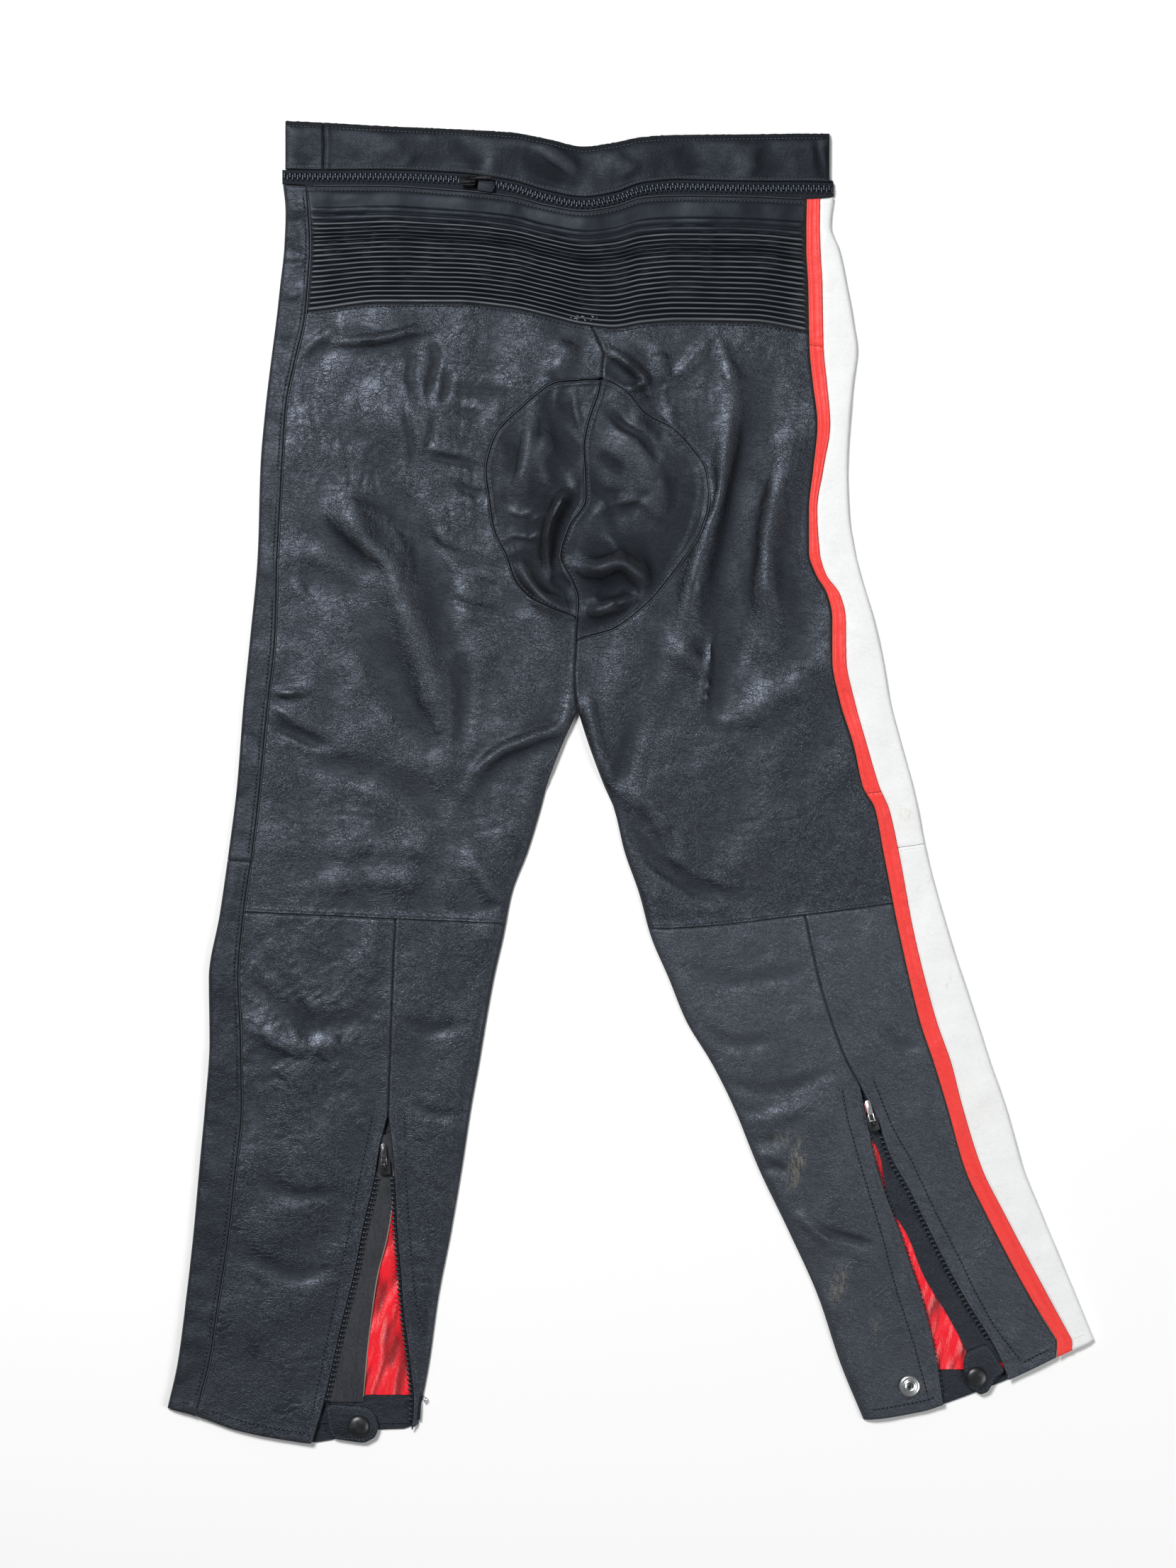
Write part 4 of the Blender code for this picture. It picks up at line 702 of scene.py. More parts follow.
# Each profile: its bells, as height, place and width, then a band: its height, end and fall.
PROFILES = {
    "over": (((-1.1, 0, 0.5), (-0.32, 2.1, 0.6)), (0.55, 2.6, 2.6)),  # a folded, stitched edge
    "under": (((-0.9, 0, 1.1),), (0, 0, 1)),  # its neighbour, which dips beneath it
    "plain": (((-0.85, 0, 0.8), (0.25, 2.2, 1.4)), (0, 0, 1)),  # a closed seam
    "hem": (((-0.9, 0, 0.8), (-0.30, 6.4, 0.7)), (0.35, 7.5, 2.0)),  # a turned hem
    "raw": (((-0.25, 0, 0.6), (-0.25, 2.6, 0.7)), (0, 0, 1)),  # a cut edge
    "fold": (((-1.1, 0, 0.9),), (0, 0, 1)),  # the rolled inner edge of a leg
}


def profile_height(profile, gap):
    """Height of a seam's profile at distances from its path."""
    bells, (band, end, fall) = PROFILES[profile]
    height = band * (1 - smooth_step((gap - end) / fall))
    for bell, place, width in bells:
        height = height + bell * np.exp(-(((gap - place) / width) ** 2))
    return height


SEAM_REACH = 12


def seam_relief(x, drop, seams):
    """How the panel's seams change its height, and how close they are."""
    relief = np.zeros(x.shape)
    closest = np.full(x.shape, 50.0)
    for seam, profile in seams:
        path = SEAMS[seam]
        near = around(path, x, drop, SEAM_REACH)
        if not near.any():
            continue
        gap = along_path(path, x[near], drop[near])[0]
        relief[near] += profile_height(profile, gap)
        closest[near] = np.minimum(closest[near], gap)
    return relief, closest


# %% [markdown]
# ## Shader maths
#
# A finish is a small network of nodes. The two classes below let it be written as plain
# expressions: a Value wraps a socket that carries a number, and Python's operators on it add Math
# nodes. Finish.node adds any other node.


# %% Shader helpers
class Value:
    """A number that varies over a surface."""

    def __init__(self, finish, socket):
        self.finish = finish
        self.socket = socket

    def maths(self, operation, first, second=0.0):
        return self.finish.node("ShaderNodeMath", {"operation": operation}, {0: first, 1: second})

    def __add__(self, other):
        return self.maths("ADD", self, other)

    def __sub__(self, other):
        return self.maths("SUBTRACT", self, other)

    def __rsub__(self, other):
        return self.maths("SUBTRACT", other, self)

    def __mul__(self, other):
        return self.maths("MULTIPLY", self, other)

    __radd__ = __add__
    __rmul__ = __mul__

    def between(self, low, high):
        """0 below low, 1 above high, smooth between."""
        return self.finish.node(
            "ShaderNodeMapRange", {"interpolation_type": "SMOOTHSTEP"},
            {"Value": self, "From Min": low, "From Max": high})


class Finish:
    """A material and its nodes."""

    def __init__(self, name):
        self.material = bpy.data.materials.new(name)
        self.material.use_nodes = True
        self.tree = self.material.node_tree
        self.shader = self.tree.nodes["Principled BSDF"]

    def node(self, kind, settings=None, sockets=None, output=0):
        """Adds a node and returns one of its outputs."""
        made = self.tree.nodes.new(kind)
        for name, value in (settings or {}).items():
            setattr(made, name, value)
        for name, value in (sockets or {}).items():
            self.plug(made.inputs[name], value)
        return Value(self, made.outputs[output])

    def plug(self, socket, value):
        if isinstance(value, Value):
            self.tree.links.new(value.socket, socket)
        elif isinstance(value, tuple) and len(value) == 3 and socket.type == "RGBA":
            socket.default_value = (*value, 1.0)
        else:
            socket.default_value = value

    def set(self, **sockets):
        for name, value in sockets.items():
            self.plug(self.shader.inputs[name.replace("_", " ")], value)
        return self

    def place(self, scale=(1, 1, 1), turn=0.0):
        """Object coordinates in millimetres, stretched and turned about z."""
        where = self.node("ShaderNodeTexCoord", output=3)
        return self.node("ShaderNodeMapping", {"vector_type": "POINT"}, {
            "Vector": where, "Rotation": (0, 0, turn),
            "Scale": tuple(1000.0 * s for s in scale)})

    def noise(self, size, detail=3.0, scale=(1, 1, 1), turn=0.0, rough=0.5):
        return self.node("ShaderNodeTexNoise", {}, {
            "Vector": self.place(scale, turn), "Scale": 1.0 / size, "Detail": detail,
            "Roughness": rough})

    def cells(self, size, scale=(1, 1, 1), turn=0.0, warp=0.0):
        """Distance to the edges of cells, in cell sizes."""
        where = self.place(scale, turn)
        if warp:
            push = self.node("ShaderNodeTexNoise", {}, {
                "Vector": where, "Scale": 0.6 / size, "Detail": 2.0}, output=1)
            where = self.node("ShaderNodeMix", {"data_type": "VECTOR"}, {
                "Factor": warp, 4: where,
                5: self.node("ShaderNodeVectorMath", {"operation": "MULTIPLY_ADD"},
                             {0: push, 1: (size * 6,) * 3, 2: where})}, output=1)
        return self.node("ShaderNodeTexVoronoi", {"feature": "DISTANCE_TO_EDGE"}, {
            "Vector": where, "Scale": 1.0 / size})

    def attribute(self, name):
        return self.node("ShaderNodeAttribute", {"attribute_name": name}, output=2)

    def stain(self, x, drop, wide, long, turn):
        """1 at a place on the garment, falling to 0 round it. wide, long: half sizes in mm."""
        where = self.node("ShaderNodeMapping", {"vector_type": "TEXTURE"}, {
            "Vector": self.node("ShaderNodeTexCoord", output=3),
            "Location": (x * MM, (LENGTH / 2 - drop) * MM, 0.0),
            "Rotation": (0, 0, math.radians(turn)), "Scale": (wide * MM, long * MM, 1.0)})
        return self.node("ShaderNodeTexGradient", {"gradient_type": "SPHERICAL"},
                         {"Vector": where}, output=1)

    def blend(self, share, first, second):
        """A colour between two."""
        return self.node("ShaderNodeMix", {"data_type": "RGBA"},
                         {"Factor": share, 6: first, 7: second}, output=2)

    def bump(self, height, depth):
        """Relief from a number, where 1 stands for depth in millimetres."""
        return self.node("ShaderNodeBump", {}, {
            "Height": height, "Distance": depth * MM, "Strength": 1.0})


# %% [markdown]
# ## Leather
#
# Cowhide has a fine pebble grain, a net of tiny cracks where it has bent, and a semi-gloss top
# coat that wears off at seams. One function makes every leather here; the colours, how strong
# the grain is and how worn the coat is are its arguments. Attributes on the panels say where a
# crest, a trough or a rubbed edge is: crests are painted lighter, a painted highlight, and troughs
# darker, painted shade.


# %% Leather finish
def leather(name, colour, worn, dust_and_sheen, grain=1.0, tint=0.5, gloss=0.36, cracks=1.0,
            sheen_tint=(1.0, 1.0, 1.0), specular=0.5, stains=(), soil=(0.15, 0.13, 0.09), cut=None,
            lit=0.30):
    """A leather. worn is the colour of its rubbed places; the next colour is that of dust at its seams,
    and of a painted highlight on its crests; soil is that of its stains.
    """
    finish = Finish(name)
    clouds = finish.noise(70, 3)
    patches = finish.noise(19, 4, rough=0.6)
    speckle = finish.noise(1.6, 3)
    pebbles = finish.cells(1.1, warp=0.25)
    coarse_net = finish.cells(9.0, scale=(0.8, 1.5, 1.0), warp=0.6)
    wrinkle_net = finish.cells(4.6, scale=(1.0, 1.4, 1.0), warp=0.5)
    fine_net = finish.cells(2.1, scale=(1.5, 1.0, 1.0), turn=0.5, warp=0.45)
    crest = finish.attribute("crest")
    hollow = finish.attribute("hollow")
    rub = finish.attribute("rub")

    worn_share = (clouds.between(0.45, 0.72) * 0.6 + patches.between(0.52, 0.75) * 0.5) * tint
    base = finish.blend(worn_share, colour, worn)
    base = finish.blend(rub * speckle * 0.5, base, dust_and_sheen)
    # Crests are blended towards the lighter third colour: a painted highlight.
    base = finish.blend(crest.between(0.2, 0.9) * lit, base, dust_and_sheen)
    cracked = patches.between(0.36, 0.62)
    coarse_lines = 1 - coarse_net.between(0.0, 0.07)
    crack_lines = 1 - wrinkle_net.between(0.0, 0.09)
    crack_share = (crack_lines * cracked * 0.6 + coarse_lines * 0.5) * cracks
    deep = tuple(c * 0.35 for c in colour)
    base = finish.blend(crack_share, base, deep)
    # Troughs are darkened towards the deep colour: painted shade.
    base = finish.blend(hollow * 0.5, base, deep)
    if cut is not None:
        base = finish.blend(finish.attribute("edge").between(0.3, 0.8), base, cut)
    if stains:
        streaks = finish.noise(2.4, 4, scale=(1.0, 0.3, 1.0), turn=-0.2, rough=0.7).between(0.42, 0.62)
        for x, drop, wide, long, turn, strength in stains:
            spread = finish.stain(x, drop, wide, long, turn).between(0.0, 0.7)
            base = finish.blend(spread * streaks * strength, base, soil)

    coat = gloss + 0.10 * patches + 0.10 * clouds + 0.14 * crack_share + 0.34 * hollow
    relief = (
        pebbles.between(0.0, 0.45) * (0.06 * grain)
        + fine_net.between(0.0, 0.13) * (0.07 * cracks) * patches.between(0.25, 0.6)
        + wrinkle_net.between(0.0, 0.10) * (0.10 * cracks) * (0.1 + cracked)
        + coarse_net.between(0.0, 0.08) * (0.10 * cracks)
        + patches * 0.25
        + speckle * 0.02
    )
    finish.set(Base_Color=base, Roughness=coat, Specular_IOR_Level=specular,
               Specular_Tint=(*sheen_tint, 1.0), Normal=finish.bump(relief, 1.0))
    return finish


BLACK = (0.0042, 0.0047, 0.0062)
BROWNED = (0.0170, 0.0150, 0.0150)
DUST_AND_SHEEN = (0.045, 0.048, 0.054)
COOL = (0.72, 0.82, 1.0)
black_leather = leather("black leather", BLACK, BROWNED, DUST_AND_SHEEN, gloss=0.27, sheen_tint=COOL,
                        specular=0.64,
                        stains=((107.5, 553, 4, 2, 0, 0.5), (-138, 838, 3, 9, 10, 0.4)))
right_calf_leather = leather(
    "right calf leather", (0.0200, 0.0215, 0.0255), (0.040, 0.040, 0.044), DUST_AND_SHEEN, gloss=0.30,
    sheen_tint=COOL, specular=0.72,
    stains=((129, 808, 9, 30, -14, 0.75), (161, 902, 9, 22, -16, 0.6), (190, 931, 6, 12, 0, 0.4),
            (118, 790, 16, 10, 20, 0.3), (226, 980, 12, 6, 0, 0.25)))
smooth_leather = leather("smooth black leather", BLACK, BROWNED, DUST_AND_SHEEN, grain=0.8, cracks=0.80,
                         gloss=0.36, sheen_tint=COOL, specular=0.50)
strip_leather = leather("strip leather", (0.0030, 0.0034, 0.0045), BLACK, DUST_AND_SHEEN, grain=0.8,
                        cracks=0.40, gloss=0.36, sheen_tint=COOL, specular=0.26)
# Its crests take a much lighter colour: a painted highlight along the ribs.
stretch_leather = leather("stretch leather", (0.0024, 0.0028, 0.0038), BLACK, (0.11, 0.118, 0.125),
                          grain=0.3, tint=0.12, gloss=0.36, cracks=0.05, sheen_tint=COOL,
                          specular=0.30, lit=0.85)
# Piping is given a lighter colour than the leather round it: a painted highlight along its top.
piping_leather = leather("piping leather", (0.034, 0.038, 0.044), (0.056, 0.059, 0.064), DUST_AND_SHEEN,
                         grain=0.3, tint=0.6, gloss=0.34, cracks=0.05, sheen_tint=COOL)
red_leather = leather("red leather", (0.80, 0.036, 0.030), (0.70, 0.022, 0.019),
                      (0.90, 0.10, 0.075), grain=0.6, tint=0.4, gloss=0.38, cracks=0.30,
                      specular=0.40, cut=(0.50, 0.23, 0.14))
white_leather = leather("white leather", (0.755, 0.765, 0.76), (0.71, 0.705, 0.68),
                        (0.80, 0.80, 0.79), grain=0.6, tint=0.5, gloss=0.46, cracks=0.14,
                        specular=0.3, soil=(0.52, 0.42, 0.30),
                        stains=((212.6, 538, 7, 7, 0, 0.5), (230.7, 588, 4, 5, 0, 0.5),
                                (268.7, 779, 2, 2, 0, 0.8), (246, 668, 3, 9, -18, 0.3)))

# %% [markdown]
# ## Laying a panel
#
# A panel starts as a flat grid, the quickest sheet to make. Its points move to the rows between the
# panel's two side lines, and rise to the height of the cloth. Solidify then gives the leather its
# thickness below that face.


# %% Sheet builder
def deselect():
    bpy.ops.object.select_all(action="DESELECT")


def mode(name):
    bpy.ops.object.mode_set(mode=name)


def finish_piece(piece, name, finish, body="garment", replaces=()):
    """Names a piece, gives it its finish, and hangs it on its body."""
    piece.name = name
    piece.data.name = name
    piece.data.materials.clear()
    piece.data.materials.append(finish.material)
    if replaces:
        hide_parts(*replaces)
    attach(piece, body)
    return piece


def grid_sheet(x, drop, z):
    """A sheet through a grid of places, given in millimetres."""
    rows, columns = x.shape
    deselect()
    bpy.ops.mesh.primitive_grid_add(x_subdivisions=columns - 1, y_subdivisions=rows - 1, size=1)
    sheet = bpy.context.object
    places = np.stack((x, LENGTH / 2 - drop, z), axis=-1)[::-1] * MM
    sheet.data.vertices.foreach_set("co", places.reshape(-1).astype(np.float32))
    sheet.data.update()
    return sheet


def store(sheet, name, values):
    """A number at each point of a grid sheet, for its finish to read."""
    attribute = sheet.data.attributes.new(name, "FLOAT", "POINT")
    attribute.data.foreach_set("value", values[::-1].reshape(-1).astype(np.float32))


SHELL = 1.25     # thickness of a visible leather shell


def thicken(sheet, wall):
    """Gives a sheet its thickness, below the face that was laid."""
    bpy.context.view_layer.objects.active = sheet
    solid = sheet.modifiers.new("Wall", "SOLIDIFY")
    solid.thickness = wall * MM
    solid.offset = -1.0
    bpy.ops.object.modifier_apply(modifier=solid.name)
    deselect()
    sheet.select_set(True)
    bpy.ops.object.shade_smooth_by_angle(angle=math.radians(50))


def flat_area(x, drop, z):
    """Area of a sheet's face, in square metres."""
    face = np.stack((x, drop, z), axis=-1)
    one, two = face[1:, 1:] - face[:-1, :-1], face[1:, :-1] - face[:-1, 1:]
    return float(np.linalg.norm(np.cross(one, two), axis=-1).sum() / 2) * MM * MM


def columns_for(left, right, rows, step):
    """Shares across a panel, fine beside its seams."""
    width = float(np.mean(meet(right, rows)[0] - meet(left, rows)[0]))
    return stations(width, step) / width


def panel_places(left, right, rows, shares):
    x_left, drop_left = meet(left, rows)
    x_right, drop_right = meet(right, rows)
    x_left = x_left + SEAM_INSET * lean(left, drop_left)
    x_right = x_right - SEAM_INSET * lean(right, drop_right)
    middle = (x_left + x_right) / 2
    crossed = x_right < x_left
    x_left, x_right = np.where(crossed, middle, x_left), np.where(crossed, middle, x_right)
    x = x_left[:, None] + (x_right - x_left)[:, None] * shares[None, :]
    return x, row_drop(rows[:, None], x)


def crest_of(height, reach=4):
    """How much each point stands above the average around it, in millimetres."""
    total, count = np.zeros(height.shape), 0
    for down, across in ((0, 1), (1, 0), (1, 1), (1, -1)):
        for side in (1, -1):
            total += np.roll(height, (side * down * reach, side * across * reach), (0, 1))
            count += 1
    return height - total / count


PANEL_SEAMS = {}


def panel_height(x, drop, seams):
    relief, closest = seam_relief(x, drop, seams)
    return np.maximum(STACK - 0.9, cloth_height(x, drop) + relief), closest


def lay_leather(name, x, drop, seams, finish, cut_edge=None, lift=None):
    """A leather sheet over places in plan, with its seams, folds and wrinkles."""
    z, closest = panel_height(x, drop, seams)
    if lift is not None:
        z = z + lift
    sheet = grid_sheet(x, drop, z)
    relief = z if lift is None else lift
    wide = 0.0 if lift is not None else crest_of(z, 9) / 4.0
    # crest lightens the leather's colour where it stands above its surroundings: a painted highlight.
    store(sheet, "crest", np.clip(crest_of(relief) / 1.2, 0, 1))
    # hollow darkens the leather's colour in its troughs, painted shade, and also roughens it.
    store(sheet, "hollow", np.tanh(np.maximum(0, -crest_of(relief) / 1.8 - wide)))
    store(sheet, "rub", np.exp(-closest / 1.6))
    if cut_edge is not None:
        store(sheet, "edge", cut_edge)
    thicken(sheet, SHELL)
    finish_piece(sheet, name + "_leather", finish, replaces=(name,))
    PANEL_SEAMS[name] = seams


# %% Leather panels of the legs
PATCH_STEP = 1.6
PATCH_ROWS = THIGH_ROWS[THIGH_ROWS >= thigh_row(PATCH_TOP) - 1e-6]
LEFT_PATCH_ROWS = PATCH_ROWS[PATCH_ROWS <= thigh_row(LEFT_PATCH_FOOT)]
RIGHT_PATCH_ROWS = PATCH_ROWS[PATCH_ROWS <= thigh_row(RIGHT_PATCH_FOOT)]
for name, left, right, rows, seams, finish, below, step in (
    ("back_left", LEFT_SIDE.seam, back_left_inner, THIGH_ROWS,
     (("left side", "under"), ("rib edge", "under"), ("left patch", "under"), ("centre", "plain"),
      ("left knee", "over"), ("left inner", "fold")), black_leather, "front_left", STEP),
    ("back_right", back_right_inner, RIGHT_SIDE.stripe_in, THIGH_ROWS,
     (("stripe in", "under"), ("rib edge", "under"), ("right patch", "under"), ("centre", "plain"),
      ("right knee", "over"), ("right inner", "fold")), black_leather, "front_right", STEP),
    ("seat_patch_left", SEAT.patch_left, SEAT.centre, LEFT_PATCH_ROWS,
     (("left patch", "over"), ("centre", "plain")), smooth_leather, "front_left", PATCH_STEP),
    ("seat_patch_right", SEAT.centre, SEAT.patch_right, RIGHT_PATCH_ROWS,
     (("right patch", "over"), ("centre", "over")), smooth_leather, "front_right", PATCH_STEP),
    ("calf_left_outer", LEFT_SIDE.seam, calf_left_outer, CALF_ROWS,
     (("left side", "under"), ("left knee", "under"), ("left calf", "plain"),
      ("left zip outer", "over"), ("left hem", "hem")), black_leather, "front_left", STEP),
    ("calf_left_inner", calf_left_inner, INNER_LEGS.left, CALF_ROWS,
     (("left inner", "fold"), ("left knee", "under"), ("left calf", "plain"),
      ("left zip inner", "over"), ("left hem", "hem")), black_leather, "front_left", STEP),
    ("calf_right_inner", INNER_LEGS.right, calf_right_inner, CALF_ROWS,
     (("right inner", "fold"), ("right knee", "under"), ("right calf", "plain"),
      ("right zip inner", "over"), ("right hem", "hem")), right_calf_leather, "front_right", STEP),
    ("calf_right_outer", calf_right_outer, RIGHT_SIDE.stripe_in, CALF_ROWS,
     (("stripe in", "under"), ("right knee", "under"), ("right calf", "plain"),
      ("right zip outer", "over"), ("right hem", "hem")), right_calf_leather, "front_right", STEP),
):
    x, drop = panel_places(left, right, rows, columns_for(left, right, rows, step))
    lay_leather(name, x, drop, seams, finish)

# %% [markdown]
# ## Accordion stretch panel
#
# Across the back, leather is sewn in rows over elastic, so that it gathers into twenty ribs. Each
# rib is a rounded pleat with a sharp valley at its stitching. A wave along the drop makes them, with
# the rows of the grid eight to a rib, and a slow noise lets them waver and lie down here and there.

# %% Stretch panel
RIBS = 20
RIB_BAND = 0.165
RIB_HEIGHT = 1.5


def rib_phase(share):
    """Which rib a share of the panel's height lies in: the first two are wider."""
    t = np.clip((share - RIB_BAND) / (1 - RIB_BAND), 0, 1)
    return RIBS * (t - 0.045 * np.sin(np.pi * np.clip(t / 0.35, 0, 1)) * (t < 0.35))


def rib_lift(phase, x):
    """A pleat: steep below its crest, gentle above it."""
    part = phase - np.floor(phase)
    crest = 0.42 + 0.05 * soft_noise(x / 30, np.floor(phase) * 3.7, 41)
    rising = np.clip(part / crest, 0, 1)
    falling = np.clip((1 - part) / (1 - crest), 0, 1)
    wave = np.minimum(np.sin(rising * math.pi / 2) ** 0.8, np.sin(falling * math.pi / 2) ** 0.8)
    lying = 1 + 0.16 * soft_noise(x / 24, np.floor(phase) * 2.3 + 9, 42)
    soft = np.where(phase < 2, 0.6, 1.0)
    ridge = RIB_HEIGHT * wave * lying * soft
    return np.where(phase <= 0, 0.0, ridge)


rib_shares = np.unique(np.round(np.concatenate((
    FINE / 92, np.linspace(0.045, RIB_BAND, 8),
    RIB_BAND + (1 - RIB_BAND) * np.arange(0, RIBS * 8 + 1) / (RIBS * 8),
)), 5))
rib_columns = columns_for(LEFT_SIDE.seam, RIGHT_SIDE.stripe_in, rib_shares, 3.0)
rib_x, rib_drop = panel_places(LEFT_SIDE.seam, RIGHT_SIDE.stripe_in, rib_shares, rib_columns)
waver = 0.16 * soft_noise(rib_x / 26, rib_drop / 60, 43) + 0.06 * soft_noise(rib_x / 9, rib_drop / 30, 44)
middle_of_panel = np.sin(np.pi * np.clip((rib_shares[:, None] - RIB_BAND) / (1 - RIB_BAND), 0, 1))
phases = rib_phase(np.broadcast_to(rib_shares[:, None], rib_x.shape)) + waver * middle_of_panel * 1.1
near_side = np.minimum(rib_x - rib_x[:, :1], rib_x[:, -1:] - rib_x)
rib_calm = smooth_step(near_side / 5.0)
lay_leather(
    "stretch_panel", rib_x, rib_drop,
    (("left side", "under"), ("stripe in", "under"), ("body top", "over"), ("rib edge", "over")),
    stretch_leather,
    lift=rib_lift(phases, rib_x) * (0.25 + 0.75 * rib_calm))

# %% [markdown]
# ## Connector strip
#
# Above the zip lies a strip of leather that would join the pants to a jacket. Its top edge is raw,
# and a short end piece is sewn on at the left.

# %% Connector strip
STRIP_TO_ZIP = 5.5


def strip_piece(name, start, end, seams):
    length = end - start
    xs = start + stations(length, STEP)
    shares = stations(38.0, 1.9) / 38.0
    x = np.broadcast_to(xs[None, :], (len(shares), len(xs)))
    top, foot = WAIST.strip_top(x), WAIST.zip_line(x) - STRIP_TO_ZIP
    drop = top + (foot - top) * shares[:, None]
    fray = 0.35 * soft_noise(x / 2.1, x * 0 + 3, 51) + 0.25 * soft_noise(x / 0.9, x * 0 + 7, 52)
    drop = drop + fray * np.exp(-(drop - top) / 1.5)
    lay_leather(name, x, drop, seams, strip_leather)


SEAMS["strip foot"] = across_path(lambda x: WAIST.zip_line(x) - STRIP_TO_ZIP, STRIP_LEFT, STRIP_RIGHT)
strip_piece("connector_strip_back", STRIP_JOIN + 0.15, STRIP_RIGHT,
            (("strip top", "raw"), ("strip join", "over"), ("strip foot", "over")))
strip_piece("connector_strip_end", STRIP_LEFT, STRIP_JOIN - 0.15,
            (("strip top", "raw"), ("strip join", "under"), ("strip foot", "over")))

# %% [markdown]
# ## Red stripe
#
# A narrow red strip is sewn over the join between black and white, with its cut edges showing. It is
# made of three lengths. The sewing pulls it into small puckers.


# %% Red stripe
def row_at(x, drop):
    """The row that passes a place between the ribs and the knee."""
    return float(1 + (drop - WAIST.rib_edge(x)) / (LEGS_ACROSS.knee(x) - WAIST.rib_edge(x)))


WAIST_ROWS = stations(100.0, STEP) / 100.0
LADDER = np.unique(np.round(np.concatenate((WAIST_ROWS, THIGH_ROWS, CALF_ROWS)), 6))


def ladder_between(first, last, gap):
    """Rows of the ladder between two row numbers, drawn in a little where they are seams."""
    inner = LADDER[(LADDER > first + 0.003) & (LADDER < last - 0.003)]
    return np.concatenate(([first + gap[0]], inner, [last - gap[1]]))


RED_JOINS = [row_at(144.0, 175.0), row_at(187.0, 521.0)]
for number, row in enumerate(RED_JOINS):
    SEAMS["red join %d" % number] = across_path(lambda x, row=row: row_drop(row, x), 130, 200, 1.0)


PUCKER = 4.3


def puckers(x, drop, seam_lines):
    """Small gathers beside sewn lines."""
    lift = np.zeros(x.shape)
    for number, line in enumerate(seam_lines):
        gap = np.abs(x - line(drop))
        wave = soft_noise(drop / PUCKER, gap / 9 + number * 5, 61)
        lift += 0.42 * wave * np.exp(-gap / 4.0)
    return lift


def stripe_length(name, first, last, gap, seams):
    rows = ladder_between(first, last, gap)
    shares = stations(10.6, 1.2) / 10.6
    x, drop = panel_places(RIGHT_SIDE.stripe_in, RIGHT_SIDE.stripe_out, rows, shares)
    lift = 0.35 + puckers(x, drop, (RIGHT_SIDE.stripe_in, RIGHT_SIDE.stripe_out))
    cut_edge = np.exp(-np.abs(x - RIGHT_SIDE.stripe_in(drop)) / 0.45)
    lay_leather(name, x, drop, (("stripe in", "over"), ("stripe out", "over")) + seams,
                red_leather, cut_edge, lift)


stripe_length("stripe_red_top", 0.0, RED_JOINS[0], (0, 0.0004), (("red join 0", "under"),))
stripe_length("stripe_red_middle", RED_JOINS[0], RED_JOINS[1], (0.0004, 0.0004),
              (("red join 0", "over"), ("red join 1", "under")))
stripe_length("stripe_red_lower", RED_JOINS[1], 3.0, (0.0004, 0),
              (("red join 1", "over"), ("right hem", "hem")))

# %% [markdown]
# ## Side panels
#
# Each side panel runs from its seam on the back, round the folded edge of the garment, to a seam on
# the hidden front. Its section is one open curve: the cloth above, half an oval at the fold, and a
# flat strip on the floor. The same grid of rows carries that section down the leg.

# %% Side panels
SHOULDER = 3.4         # how far in the rounded fold begins, above and below
UNDER_SHOULDER = 2.0
SIDE_SHELL = 1.2


def wrapped_panel(name, seam, edge, front_seam, side, first, last, gap, seams, finish):
    """A side panel. side is -1 on the left and 1 on the right."""
    rows = ladder_between(first, last, gap)
    seam_x, seam_drop = meet(seam, rows)
    seam_x = seam_x + side * SEAM_INSET * lean(seam, seam_drop)
    edge_x, edge_drop = meet(edge, rows)
    turn_x = edge_x - side * SHOULDER
    width = float(np.mean(np.abs(turn_x - seam_x)))
    top_shares = stations(width, 2.2, True, False) / width
    x_top = seam_x[:, None] + (turn_x - seam_x)[:, None] * top_shares[None, :]
    drop_top = row_drop(rows[:, None], x_top)
    z_top, closest = panel_height(x_top, drop_top, seams)
    ripple = 0.7 * soft_noise(drop_top / 17, x_top / 24, 71) * np.linspace(0, 1, x_top.shape[1])
    z_top = np.maximum(STACK, z_top + ripple)
    turn_z = z_top[:, -1]
    columns_x, columns_z = [x_top], [z_top]
    for degrees in (68, 46, 24, 0):
        columns_x.append((turn_x + side * SHOULDER * math.cos(math.radians(degrees)))[:, None])
        columns_z.append((turn_z / 2 * (1 + math.sin(math.radians(degrees))))[:, None])
    for degrees in (25, 50, 75, 90):
        columns_x.append(
            (edge_x - side * UNDER_SHOULDER * (1 - math.cos(math.radians(degrees))))[:, None])
        columns_z.append((turn_z / 2 * (1 - math.sin(math.radians(degrees))))[:, None])
    front_x = front_seam(edge_drop) + side * 0.15
    for share in (0.25, 0.5, 0.75, 1.0):
        start = edge_x - side * UNDER_SHOULDER
        columns_x.append((start + (front_x - start) * share)[:, None])
        columns_z.append(np.zeros((len(rows), 1)))
    x = np.hstack(columns_x)
    z = np.hstack(columns_z)
    extra = x.shape[1] - x_top.shape[1]
    drop = np.hstack((drop_top, np.repeat(edge_drop[:, None], extra, axis=1)))
    closest = np.hstack((closest, np.full((len(rows), extra), 9.0)))
    if side < 0:
        x, drop, z, closest = x[:, ::-1], drop[:, ::-1], z[:, ::-1], closest[:, ::-1]
    sheet = grid_sheet(x, drop, z)
    # crest lightens the colour on the rounded fold of the edge: a painted highlight.
    store(sheet, "crest", np.clip(crest_of(z, 2) / 1.5, 0, 1) * (np.abs(z) > 2.0))
    store(sheet, "hollow", np.zeros(z.shape))
    store(sheet, "rub", np.exp(-closest / 1.6))
    thicken(sheet, SIDE_SHELL)
    finish_piece(sheet, name + "_leather", finish, replaces=(name,))
    PANEL_SEAMS[name] = seams


